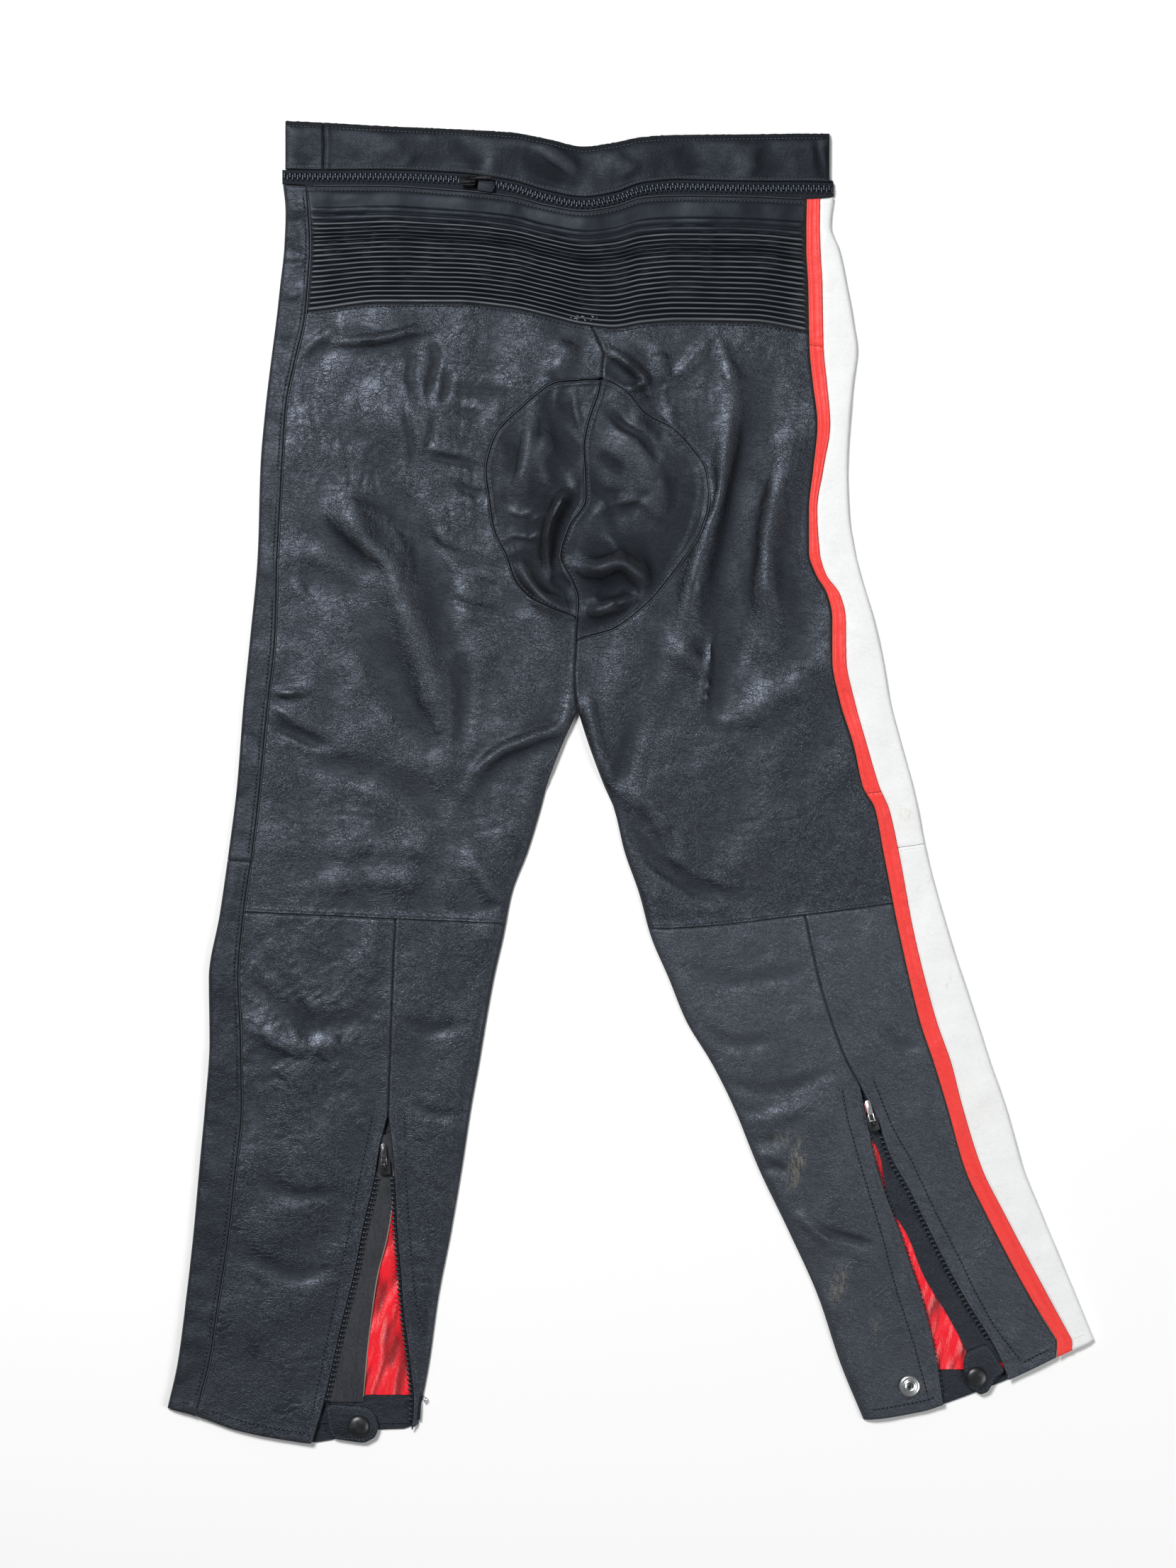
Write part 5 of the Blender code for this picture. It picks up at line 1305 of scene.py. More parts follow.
LEFT_JOIN = row_at(-300.0, 574.0)
RIGHT_JOIN = row_at(218.0, 562.0)
SEAMS["left join"] = across_path(lambda x: row_drop(LEFT_JOIN, x), -320, -285, 1.0)
SEAMS["right join"] = across_path(lambda x: row_drop(RIGHT_JOIN, x), 200, 235, 1.0)
SEAMS["side top"] = across_path(WAIST.body_top, -272, 158)
for name, first, last, gap, joins in (
    ("side_left_upper", 0.0, LEFT_JOIN, (0, 0.0004), (("side top", "over"), ("left join", "over"))),
    ("side_left_lower", LEFT_JOIN, 3.0, (0.0004, 0), (("left join", "under"), ("left hem", "hem"))),
    ("side_white_upper", 0.0, RIGHT_JOIN, (0, 0.0004), (("side top", "over"), ("right join", "over"))),
    ("side_white_lower", RIGHT_JOIN, 3.0, (0.0004, 0), (("right join", "under"), ("right hem", "hem"))),
):
    if "left" in name:
        wrapped_panel(name, LEFT_SIDE.seam, LEFT_SIDE.edge, FRONT.left_seam, -1, first, last, gap,
                      (("left side", "over"),) + joins, smooth_leather)
    else:
        wrapped_panel(name, RIGHT_SIDE.stripe_out, RIGHT_SIDE.edge, FRONT.right_seam, 1, first, last,
                      gap, (("stripe out", "under"),) + joins, white_leather)

# %% [markdown]
# ## Hidden front
#
# The front of the pants lies on the floor and nobody sees it. It is finished plainly: flat panels
# with a fine grain, whose undersides rest on the floor.

# %% Front panels
FRONT_ZIP = 11.0
ZIP_LEFT, ZIP_RIGHT = -270.0, 157.0


def front_line(x):
    return 49.0 + 8.5 * (np.asarray(x, float) - ZIP_LEFT) / (ZIP_RIGHT - ZIP_LEFT)


def plain_sheet(name, x, drop, finish, replaced):
    """A flat sheet of cloth on the floor, with no folds."""
    sheet = grid_sheet(x, drop, np.full(x.shape, WALL))
    for mark in ("crest", "hollow", "rub"):
        store(sheet, mark, np.zeros(x.shape))
    thicken(sheet, WALL - 0.01)
    finish_piece(sheet, name, finish, replaces=(replaced,))


def front_panel(name, left, right):
    rows = np.concatenate((np.linspace(0, 1, 12), np.linspace(1, 2, 50)[1:], np.linspace(2, 3, 40)[1:]))
    x, drop = panel_places(left, right, rows, np.linspace(0, 1, 16))
    floor_of_zip = front_line(x) + SEAM_GAP
    top_rows = rows < 1
    share = rows[top_rows][:, None]
    drop[top_rows] = floor_of_zip[top_rows] * (1 - share) + WAIST.rib_edge(x[top_rows]) * share
    x_left, x_right = left(drop[:, 0]) + 0.15, right(drop[:, -1]) - 0.15
    x = x_left[:, None] + (x_right - x_left)[:, None] * np.linspace(0, 1, 16)[None, :]
    plain_sheet(name + "_leather", x, drop, smooth_leather, name)


front_panel("front_left", FRONT.left_seam, left_inner)
front_panel("front_right", right_inner, FRONT.right_seam)
front_x = np.broadcast_to(np.linspace(STRIP_LEFT, STRIP_RIGHT, 60)[None, :], (9, 60))
strip_share = np.linspace(0, 1, 9)[:, None]
front_drop = (WAIST.strip_top(front_x) * (1 - strip_share)
              + (front_line(front_x) - FRONT_ZIP - SEAM_GAP) * strip_share)
plain_sheet("connector_strip_front_leather", front_x, front_drop, smooth_leather,
            "connector_strip_front")

# %% [markdown]
# ## Cloth, thread and metal finishes
#
# Zip tape is a woven herringbone, the gusset a plain matt cloth, and the lining a satin with a soft
# shine. Thread is a little glossier than the leather it sews. The snaps and sliders are metal, dark
# where they were blackened and lighter in worn patches.


# %% Cloth, thread and metal finishes
def cloth(name, colour, shade, weave, gloss, folds_depth, specular=0.4, deep=None):
    finish = Finish(name)
    warp = finish.noise(weave, 1, scale=(1.0, 0.35, 1.0), turn=0.7)
    weft = finish.noise(weave, 1, scale=(0.35, 1.0, 1.0), turn=0.7)
    soil = finish.noise(24, 3)
    creases = finish.cells(8.0, scale=(1.6, 0.6, 1.0), warp=0.6)
    base = finish.blend(soil.between(0.35, 0.75) * 0.6 + warp * 0.2, colour, shade)
    # A deep colour darkens the hollows of the folds: painted shade.
    if deep is not None:
        base = finish.blend(finish.attribute("hollow"), base, deep)
    relief = warp * 0.12 + weft * 0.10 + creases.between(0.0, 0.2) * folds_depth
    finish.set(Base_Color=base, Roughness=gloss + 0.1 * soil, Specular_IOR_Level=specular,
               Specular_Tint=(*COOL, 1.0) if sum(colour) < 0.3 else (1.0, 1.0, 1.0, 1.0),
               Normal=finish.bump(relief, 1.0))
    return finish


def metal(name, colour, worn, gloss, metallic):
    finish = Finish(name)
    scratches = finish.noise(0.5, 4, scale=(1.0, 0.12, 1.0), turn=0.4)
    smudges = finish.noise(5.0, 3)
    base = finish.blend(smudges.between(0.45, 0.7) * 0.5, colour, worn)
    finish.set(Base_Color=base, Roughness=gloss + 0.14 * smudges, Metallic=metallic,
               Normal=finish.bump(scratches * 0.04 + smudges * 0.05, 0.4))
    return finish


zip_tape = cloth("zip tape", (0.0065, 0.0075, 0.0100), (0.013, 0.014, 0.017), 0.7, 0.7, 0.05, 0.25)
# The gusset cloth is grey, and darker than that: the extra darkness paints the shade under the slider and
# the leather.
grey_cloth = cloth("grey gusset cloth", (0.034, 0.033, 0.036), (0.021, 0.021, 0.024), 0.9, 0.7, 0.35)
raw_edge = cloth("raw leather edge", (0.26, 0.21, 0.17), (0.14, 0.11, 0.09), 0.5, 0.8, 0.0)
# Its last colour darkens the hollows of its folds: painted shade.
satin = cloth("red satin", (0.86, 0.008, 0.022), (0.72, 0.005, 0.014), 0.4, 0.22, 0.05, 0.70,
              (0.30, 0.006, 0.010))
black_thread = cloth("black thread", (0.040, 0.044, 0.053), (0.075, 0.080, 0.090), 0.3, 0.45, 0.0)
# Thin dark sheets along the seams, black on the leather and dark red on the stripe: painted shade of the
# grooves that the thread pulls down.
groove_shade = cloth("painted groove shade", (0.0025, 0.0028, 0.0036), (0.0035, 0.004, 0.005), 0.6, 0.8, 0.0, 0.15)
red_groove_shade = cloth("painted red groove shade", (0.42, 0.012, 0.010), (0.50, 0.020, 0.016), 0.6, 0.8, 0.0, 0.2)
worn_thread = cloth("worn thread", (0.34, 0.35, 0.35), (0.20, 0.21, 0.22), 0.3, 0.6, 0.0)
red_thread = cloth("red thread", (0.62, 0.030, 0.026), (0.74, 0.075, 0.055), 0.3, 0.5, 0.0)
white_thread = cloth("white thread", (0.66, 0.67, 0.67), (0.78, 0.79, 0.79), 0.3, 0.5, 0.0)
dark_metal = metal("dark metal", (0.040, 0.041, 0.044), (0.085, 0.085, 0.088), 0.28, 0.75)
grey_metal = metal("grey metal", (0.050, 0.052, 0.056), (0.12, 0.12, 0.125), 0.26, 0.8)
bright_metal = metal("bright metal", (0.74, 0.75, 0.77), (0.62, 0.63, 0.65), 0.20, 1.0)
tooth_plastic = leather("moulded teeth", (0.008, 0.009, 0.012), (0.016, 0.017, 0.020),
                        (0.06, 0.062, 0.066), grain=0.2, tint=0.3, gloss=0.24, cracks=0.0,
                        sheen_tint=COOL, specular=0.6)

box_plastic = cloth("dark moulding", (0.0050, 0.0056, 0.0075), (0.010, 0.011, 0.013), 1.2, 0.55, 0.0, 0.35)
black_metal = metal("black metal", (0.012, 0.012, 0.014), (0.045, 0.045, 0.047), 0.42, 0.5)

# %% [markdown]
# ## Small repeated pieces
#
# Stitches and zip teeth repeat by the hundred. One is modelled from a primitive, with few faces, and
# copies of its points are placed along a line, each turned to the surface it lies on. All the copies
# on one line or one leg become a single piece.


# %% Copies along a line
def shape_of(model):
    """Points and faces of a modelled piece, which is then removed."""
    mesh = model.data
    points = np.zeros(len(mesh.vertices) * 3)
    mesh.vertices.foreach_get("co", points)
    faces = [tuple(face.vertices) for face in mesh.polygons]
    bpy.data.objects.remove(model)
    return points.reshape(-1, 3) / MM, faces


def copies(shape, spots, axes):
    """Copies of a shape at spots. axes holds three directions for each, as rows."""
    points, faces = shape
    placed = np.einsum("pk,nkj->npj", points, axes) + spots[:, None, :]
    count = len(points)
    all_faces = [tuple(i + n * count for i in face) for n in range(len(spots)) for face in faces]
    mesh = bpy.data.meshes.new("copies")
    mesh.from_pydata((placed.reshape(-1, 3) * MM).tolist(), [], all_faces)
    mesh.update()
    piece = bpy.data.objects.new("copies", mesh)
    bpy.context.scene.collection.objects.link(piece)
    deselect()
    piece.select_set(True)
    bpy.context.view_layer.objects.active = piece
    bpy.ops.object.shade_smooth_by_angle(angle=math.radians(60))
    return piece


def walk(path, pitch, start=0.0):
    """Even places along a path, and the direction there."""
    path = np.asarray(path, float)
    lengths = np.concatenate(([0], np.cumsum(np.hypot(*np.diff(path, axis=0).T))))
    at = np.arange(start + pitch / 2, lengths[-1], pitch)
    spots = np.column_stack([np.interp(at, lengths, path[:, k]) for k in (0, 1)])
    ahead = np.column_stack([np.interp(at + 0.8, lengths, path[:, k]) for k in (0, 1)])
    behind = np.column_stack([np.interp(at - 0.8, lengths, path[:, k]) for k in (0, 1)])
    direction = ahead - behind
    return spots, direction / np.linalg.norm(direction, axis=1)[:, None]


def beside(path, offset):
    """A path beside another one: positive is to the right of one that runs down the garment."""
    path = np.asarray(path, float)
    direction = np.gradient(path, axis=0)
    direction /= np.linalg.norm(direction, axis=1)[:, None]
    return path + offset * np.column_stack((direction[:, 1], -direction[:, 0]))


def surface_axes(top, spots, direction):
    """Heights at places, and there the direction of the line, its side, and the way up."""
    reach = 0.7
    x, drop = spots.T
    around_x = np.stack((x, x + reach, x - reach, x, x))
    around_drop = np.stack((drop, drop, drop, drop + reach, drop - reach))
    z, right, left, below, above = top(around_x, around_drop)
    slope_x = (right - left) / (2 * reach)
    slope_d = (below - above) / (2 * reach)
    normal = np.column_stack((-slope_x, slope_d, np.ones(len(x))))
    normal /= np.linalg.norm(normal, axis=1)[:, None]
    along = np.column_stack((direction[:, 0], -direction[:, 1], np.zeros(len(x))))
    along -= (along * normal).sum(1)[:, None] * normal
    along /= np.linalg.norm(along, axis=1)[:, None]
    axes = np.stack((along, np.cross(normal, along), normal), axis=1)
    return z, axes


def raised(places, z):
    """Places in plan and their heights, as points."""
    return np.column_stack((places[:, 0], LENGTH / 2 - places[:, 1], z))


def leather_top(panel):
    seams = PANEL_SEAMS[panel]
    return lambda x, drop: panel_height(x, drop, seams)[0]


# %% [markdown]
# ## Sewing
#
# Every seam has a row of lock stitches beside it. A stitch is a short round thread that dips into
# the leather at both ends, so it is a small sphere, stretched and half sunk.

# %% Sewing
deselect()
bpy.ops.mesh.primitive_uv_sphere_add(segments=6, ring_count=5, radius=1.0)
mode("EDIT")
bpy.ops.transform.resize(value=(1.25 * MM, 0.36 * MM, 0.32 * MM))
mode("OBJECT")
STITCH = shape_of(bpy.context.object)


def path_of(seam, offset, start, end, axis=1):
    """A path beside a seam, between two drops, or with axis 0 between two places across."""
    path = beside(SEAMS[seam], offset)
    return path[(path[:, axis] >= start) & (path[:, axis] <= end)]


def join(pieces):
    deselect()
    for piece in pieces:
        piece.select_set(True)
    bpy.context.view_layer.objects.active = pieces[0]
    if len(pieces) > 1:
        bpy.ops.object.join()
    return bpy.context.object


def groove_shade_sheet(top, path, half_width=0.5):
    """A thin dark sheet along a line on the leather: painted shade of the groove where the thread pulls it
    down.
    """
    places, direction = walk(path, 1.6)
    z, axes = surface_axes(top, places, direction)
    middle = raised(places, z + 0.05)
    spots = middle[:, None, :] + axes[:, None, 1] * np.array([-half_width, half_width])[None, :, None]
    return grid_sheet(spots[..., 0], LENGTH / 2 - spots[..., 1], spots[..., 2])


def sew(name, lines, finish, pitch=3.3, groove=None):
    """Stitches along lines. Each line is a panel's name and what path_of needs, or a path."""
    spots, axes, grooves = [], [], []
    for panel, *line in lines:
        path = line[0] if len(line) == 1 else path_of(*line)
        places, direction = walk(path, pitch)
        top = leather_top(panel)
        z, turned = surface_axes(top, places, direction)
        spots.append(raised(places, z + 0.03))
        axes.append(turned)
        # A thin dark sheet along each line: painted shade of its groove.
        if groove:
            grooves.append(groove_shade_sheet(top, path))
    piece = copies(STITCH, np.vstack(spots), np.vstack(axes))
    finish_piece(piece, name, finish)
    if groove:
        finish_piece(join(grooves), name + "_line", groove)
    print(name, "stitches", sum(len(s) for s in spots))
    return piece


HEM_STITCH = 8.0
LEFT_BOX_OUT = np.array([(-175.2, 770.5), (-199.4, 769.5), (-210.4, 822), (-222.5, 883),
                         (-234.6, 943), (-246.7, 1003)])
LEFT_BOX_IN = np.array([(-175.2, 770.5), (-174.0, 822), (-169.7, 883), (-163.6, 934)])
RIGHT_BOX_IN = np.array([(187.8, 742.5), (163.6, 749.7), (168, 774), (181.8, 822), (193.9, 861),
                         (206, 907), (219.7, 949), (230.2, 988)])
RIGHT_BOX_OUT = np.array([(187.8, 742.5), (202.7, 780), (218.1, 807), (236.2, 846), (253.6, 879.5),
                          (266.5, 907), (281.3, 934), (302.2, 961)])
left_join_drop = float(row_drop(LEFT_JOIN, -295.0))
sew("leg_stitches", (
    ("side_left_upper", "left side", -3.0, 58, left_join_drop - 3),
    ("side_left_lower", "left side", -3.0, left_join_drop + 3, 990),
    ("back_left", beside(SEAMS["left knee"], 2.1)[4:-4]),
    ("back_right", beside(SEAMS["right knee"], 2.1)[4:-4]),
    ("seat_patch_left", beside(SEAMS["left patch"], 2.1)[8:-8]),
    ("seat_patch_right", beside(SEAMS["right patch"], -2.1)[8:-8]),
    ("seat_patch_right", "centre", 2.2, 206, 384),
    ("back_left", "rib edge", -2.4, -246, -34, 0),
    ("back_right", "rib edge", -2.4, -24, 130, 0),
), black_thread, groove=groove_shade)
sew("ankle_stitches", (
    ("calf_left_outer", LEFT_BOX_OUT[1:]),
    ("calf_left_inner", LEFT_BOX_IN),
    ("calf_right_inner", RIGHT_BOX_IN[1:]),
    ("calf_right_outer", RIGHT_BOX_OUT),
    ("calf_left_outer", "left hem", HEM_STITCH, -328, -250, 0),
    ("calf_right_inner", "right hem", HEM_STITCH, 184, 236, 0),
    ("calf_right_outer", "right hem", HEM_STITCH, 302, 326, 0),
    ("side_left_lower", "left hem", HEM_STITCH, -350, -336, 0),
), black_thread, groove=groove_shade)
sew("waist_stitches", (
    ("stretch_panel", "body top", -3.0, -247, 134, 0),
    ("connector_strip_back", "strip foot", 2.2, STRIP_JOIN + 2, 152, 0),
    ("connector_strip_back", "strip top", -4.0, STRIP_JOIN + 2, 152, 0),
    ("connector_strip_end", "strip foot", 2.2, STRIP_LEFT, STRIP_JOIN - 2, 0),
    ("connector_strip_end", "strip top", -4.0, STRIP_LEFT, STRIP_JOIN - 2, 0),
), black_thread, pitch=3.0, groove=groove_shade)
sew("stripe_stitches", [
    (panel, seam, offset, start, end)
    for seam, offset in (("stripe in", 1.7), ("stripe out", -1.7))
    for panel, start, end in (("stripe_red_top", 64, 172), ("stripe_red_middle", 178, 517),
                              ("stripe_red_lower", 524, 946))
] + [("stripe_red_lower", np.array([(331, 947.5), (341, 942)]))],
    red_thread, pitch=2.9, groove=red_groove_shade)
sew("side_stitches", (
    ("side_white_lower", "right join", -2.2, 208, 226, 0),
    ("side_white_lower", "right hem", HEM_STITCH, 340, 352, 0),
), white_thread, pitch=2.9)

# %% Piping and worn threads
def cord(name, lines, radius, finish):
    """A thin round piping along lines, given as for sew."""
    pieces = []
    for panel, *line in lines:
        path = line[0] if len(line) == 1 else path_of(*line)
        places, direction = walk(path, 1.5)
        z, axes = surface_axes(leather_top(panel), places, direction)
        turn = np.linspace(0, 2 * math.pi, 7)[None, :, None]
        middle = raised(places, z + 0.3 * radius)
        ring = radius * (np.cos(turn) * axes[:, None, 1] + np.sin(turn) * axes[:, None, 2])
        spots = middle[:, None, :] + ring
        tube = grid_sheet(spots[..., 0], LENGTH / 2 - spots[..., 1], spots[..., 2])
        mode("EDIT")
        bpy.ops.mesh.select_all(action="SELECT")
        bpy.ops.mesh.remove_doubles(threshold=1e-6)
        bpy.ops.mesh.normals_make_consistent(inside=False)
        mode("OBJECT")
        bpy.ops.object.shade_smooth()
        pieces.append(tube)
    piece = join(pieces)
    finish_piece(piece, name, finish)
    print(name, "faces", len(piece.data.polygons))
    return piece


cord("patch_piping", (
    ("seat_patch_left", beside(SEAMS["left patch"], -0.7)[2:-2]),
    ("seat_patch_right", beside(SEAMS["right patch"], 0.7)[2:-2]),
    ("seat_patch_right", "centre", -0.8, 204, 388),
), 0.36, piping_leather)
cord("seam_piping", (
    ("stretch_panel", "body top", 0.7, -247, 135, 0),
    ("stretch_panel", "rib edge", 0.8, -246, 130, 0),
    ("side_left_upper", "left side", 0.9, 60, left_join_drop - 3),
    ("side_left_lower", "left side", 0.9, left_join_drop + 3, 990),
), 0.42, piping_leather)

rng = np.random.default_rng(7)
loose = np.column_stack((rng.uniform(-47, -26, 26), rng.uniform(151.5, 155.5, 26)))
loose_angle = rng.normal(0.15, 0.7, len(loose))
loose_z, loose_axes = surface_axes(
    leather_top("stretch_panel"), loose, np.column_stack((np.cos(loose_angle), np.sin(loose_angle))))
loose_axes *= rng.uniform(0.5, 1.0, len(loose))[:, None, None]
threads = copies(STITCH, raised(loose, loose_z + 0.9), loose_axes)
finish_piece(threads, "worn_threads", worn_thread)

# %% [markdown]
# ## Zips
#
# A moulded zip has one tooth every 3.9 mm on each tape, and those of the other tape stand between
# them. A tooth is a small block with a narrow neck and a wide head: a cube, extruded three times
# and bevelled. At the waist the two rows are meshed, and at the ankles they part.

# %% One tooth
TOOTH_PITCH = 3.9
deselect()
bpy.ops.mesh.primitive_cube_add(size=1.0)
mode("EDIT")
bpy.ops.transform.resize(value=(2.6 * MM, 1.55 * MM, 2.2 * MM))
bpy.ops.mesh.select_all(action="DESELECT")
mode("OBJECT")
tooth = bpy.context.object
for face in tooth.data.polygons:
    face.select = face.normal.x > 0.9
mode("EDIT")
for reach, wide, high in ((0.6, 0.72, 0.9), (0.5, 1.75, 1.0), (0.9, 0.85, 0.9)):
    bpy.ops.mesh.extrude_region_move(TRANSFORM_OT_translate={"value": (reach * MM, 0, 0)})
    bpy.ops.transform.resize(value=(1, wide, high))
bpy.ops.mesh.select_all(action="SELECT")
bpy.ops.mesh.bevel(offset=0.22 * MM, segments=1, affect="EDGES")
mode("OBJECT")
TOOTH = shape_of(tooth)
print("one tooth has", len(TOOTH[1]), "faces")

# %% Waist zip
TAPE_WALL = 0.8


def tape_top(x, drop):
    return np.maximum(WALL + SEAM_GAP + 1.0, cloth_height(x, drop) - WALL * 1.1 - SEAM_GAP)


zip_x = np.tile(np.arange(ZIP_LEFT, ZIP_RIGHT + 1, 2.5), (12, 1))
tucked = (zip_x > LEFT_SIDE.seam(60.0)) & (zip_x < RIGHT_SIDE.stripe_out(60.0))
zip_foot = WAIST.body_top(zip_x) + np.where(tucked, 2.5, -1.0)
zip_head = WAIST.zip_line(zip_x) - STRIP_TO_ZIP + SEAM_GAP
zip_drop = zip_head + (zip_foot - zip_head) * np.linspace(0, 1, 12)[:, None]
welt = 0.5 * np.exp(-(((np.abs(zip_drop - WAIST.zip_line(zip_x)) - 2.6) / 0.9) ** 2))
zip_sheet = grid_sheet(zip_x, zip_drop, tape_top(zip_x, zip_drop) + welt)
thicken(zip_sheet, TAPE_WALL)
finish_piece(zip_sheet, "waist_zip_tape", zip_tape, replaces=("waist_zip_back",))
tape_top(zip_x, zip_drop)

zip_path = across_path(WAIST.zip_line, ZIP_LEFT + 0.5, ZIP_RIGHT - 0.5)


def chain(path, row):
    """One row of teeth. row is 1 or -1, the side of the path that the teeth grow from."""
    places, direction = walk(path, TOOTH_PITCH)
    z, axes = surface_axes(tape_top, places, direction)
    across = np.stack((-row * axes[:, 1], row * axes[:, 0], axes[:, 2]), axis=1)
    spots = raised(places, z)
    return spots + row * axes[:, 1] * 2.1 + axes[:, 2] * 1.15, across


upper_row = chain(zip_path, 1)
lower_row = chain(zip_path[1:] - np.array([TOOTH_PITCH / 2 - 2.0, 0.0]), -1)
waist_chain = copies(TOOTH, np.vstack((upper_row[0], lower_row[0])),
                     np.vstack((upper_row[1], lower_row[1])))
finish_piece(waist_chain, "waist_zip_teeth", tooth_plastic)
print("waist teeth", len(upper_row[0]) + len(lower_row[0]))

front_zip_x = np.broadcast_to(np.linspace(ZIP_LEFT, ZIP_RIGHT, 60)[None, :], (6, 60))
front_zip_drop = front_line(front_zip_x) - FRONT_ZIP * (1 - np.linspace(0, 1, 6)[:, None])
plain_sheet("waist_zip_front_tape", front_zip_x, front_zip_drop, zip_tape,
            "waist_zip_front")

# %% Ankle zips
TAPE_UNDER = 4.5         # height of the ankle tapes above the floor
ANKLE_TAPE_WALL = 0.6    # their thickness
NARROWEST_CUT = 0.0101
ANKLE_ZIPS = (
    ("zip_left_outer", calf_left_outer, calf_left_inner, 818.0, 992.0, 1.0, 0.0, "gusset_left"),
    ("zip_left_inner", calf_left_inner, calf_left_outer, 818.0, 1007.0, 1.0, 0.0, "lining_left"),
    ("zip_right_inner", calf_right_inner, calf_right_outer, 786.0, 985.0, -1.2, 0.9, "lining_right"),
    ("zip_right_outer", calf_right_outer, calf_right_inner, 786.0, 945.0, 0.7, 0.2, "gusset_right"),
)


def half_zip(name, line, other, start, end, out_by, sink, rests_on):
    """A tape beside the leather's edge, with its row of teeth out by some millimetres."""
    drops = np.linspace(start, end, 80)
    opening = other(drops) - line(drops)
    side = np.sign(opening[-1])
    slant = lean(line, drops)
    share = np.minimum(1.0, (np.abs(opening) / 2 - SEAM_GAP) / (5.6 * slant))
    offsets = np.linspace(-6.0, out_by + 0.9, 8)
    x = line(drops)[:, None] + side * offsets[None, :] * (slant * share)[:, None]
    drop = np.broadcast_to(drops[:, None], x.shape)
    if side < 0:
        x = x[:, ::-1]
    under = np.maximum(0.0, -offsets if side > 0 else -offsets[::-1])
    z = TAPE_UNDER + 0.75 - sink - 0.16 * under + 0.12 * soft_noise(x / 7, drop / 9, 81)
    tape = grid_sheet(x, drop, z)
    thicken(tape, ANKLE_TAPE_WALL)
    finish_piece(tape, name + "_tape", zip_tape, replaces=(name,))
    path = np.column_stack((line(drops) + side * out_by * slant * share, drops))
    places, direction = walk(path, TOOTH_PITCH)
    narrow = np.interp(places[:, 1], drops, share)[:, None, None]
    flat = np.zeros(len(places))
    along = np.column_stack((direction[:, 0], -direction[:, 1], flat))
    up = np.tile([0.0, 0.0, 1.0], (len(places), 1))
    out = np.cross(along, up) * -side
    out *= np.sign(out[:, :1] * side)
    axes = np.stack((out, np.cross(up, out), up * 0.75), axis=1)
    axes[:, 0] *= 0.50 + 0.20 * narrow[:, 0]
    spots = raised(places, flat + TAPE_UNDER + 1.55 - sink)
    teeth = copies(TOOTH, spots, axes)
    finish_piece(teeth, name + "_teeth", tooth_plastic)
    area = flat_area(x, drop, z)
    length = (end - start) * MM * float(slant.mean())
    width = max(area / length, NARROWEST_CUT)
    print(name, "teeth", len(places))


for zip_args in ANKLE_ZIPS:
    half_zip(*zip_args)

# %% [markdown]
# ## Open ankles
#
# Behind each open zip lies a gusset flap, and beyond its free edge the red satin lining shows. On
# the left leg a black facing closes the hem below it. They are thin sheets: satin creases sharply
# and in all directions, while the flap only waves a little.

# %% Gussets and linings
WALL_CLOTH = 0.6


def cloth_sheet(name, left, right, start, end, level, waves, finish, step=1.6):
    rows = max(6, int((end - start) / step))
    drops = np.linspace(start, end, rows)
    width = float(np.max(np.abs(right(drops) - left(drops))))
    columns = max(8, int(width / step))
    x_left, x_right = left(drops), right(drops)
    x = x_left[:, None] + (x_right - x_left)[:, None] * np.linspace(0, 1, columns)[None, :]
    drop = np.broadcast_to(drops[:, None], x.shape)
    z = level + waves(x, drop)
    sheet = grid_sheet(x, drop, z)
    # hollow marks the troughs of the waves, which the satin and leather finishes darken: painted shade.
    store(sheet, "hollow", np.clip(-1.5 * (z - level), 0, 1))
    thicken(sheet, WALL_CLOTH)
    finish_piece(sheet, name + "_cloth", finish, replaces=(name,))


def satin_waves(x, drop):
    slanted = x * 0.8 + drop * 0.35
    long_folds = soft_noise(slanted / 8.0, (drop - x) / 70, 91)
    short_folds = soft_noise((x * 0.9 + drop * 0.15) / 5.0, drop / 40, 92)
    level = 1.5 * long_folds + 0.8 * short_folds + 0.2 * soft_noise(x / 7, drop / 16, 93)
    return np.clip(level, -0.9, 1.3)


def flap_waves(x, drop):
    return 0.18 * soft_noise(x / 10, drop / 24, 94) + 0.10 * soft_noise(x / 5, drop / 8, 95)


cloth_sheet("lining_left", lambda d: calf_left_outer(d) - 5, lambda d: calf_left_inner(d) + 3,
            790.0, 987.7, 2.55, satin_waves, satin)
cloth_sheet("lining_right", lambda d: calf_right_inner(d) - 5, lambda d: calf_right_outer(d) + 5,
            762.0, 968.0, 2.55, satin_waves, satin)
cloth_sheet("gusset_left", lambda d: calf_left_outer(d) - 5, FLAPS.left_free, 786.0, 993.0,
            4.15, flap_waves, grey_cloth)
gusset_edge = down_path(FLAPS.left_free, 806, 990)
edge_turns = walk(gusset_edge, 1.6)
edge_strip = grid_sheet(
    edge_turns[0][:, :1] + np.array([[-0.45, 0.0, 0.35]]),
    np.repeat(edge_turns[0][:, 1:], 3, axis=1),
    4.22 + flap_waves(edge_turns[0][:, :1] + np.zeros((1, 3)), np.repeat(edge_turns[0][:, 1:], 3, axis=1)))
thicken(edge_strip, 0.5)
finish_piece(edge_strip, "gusset_left_raw_edge", raw_edge)
cloth_sheet("gusset_right", FLAPS.right_free, lambda d: calf_right_outer(d) + 5, 770.0, 962.0,
            4.15, flap_waves, smooth_leather)
cloth_sheet("hem_facing_left", lambda d: calf_left_outer(d) - 5, lambda d: calf_left_inner(d) + 3,
            988.0, 1010.0, 2.6, lambda x, drop: 0.1 * soft_noise(x / 6, drop / 6, 96),
            smooth_leather)

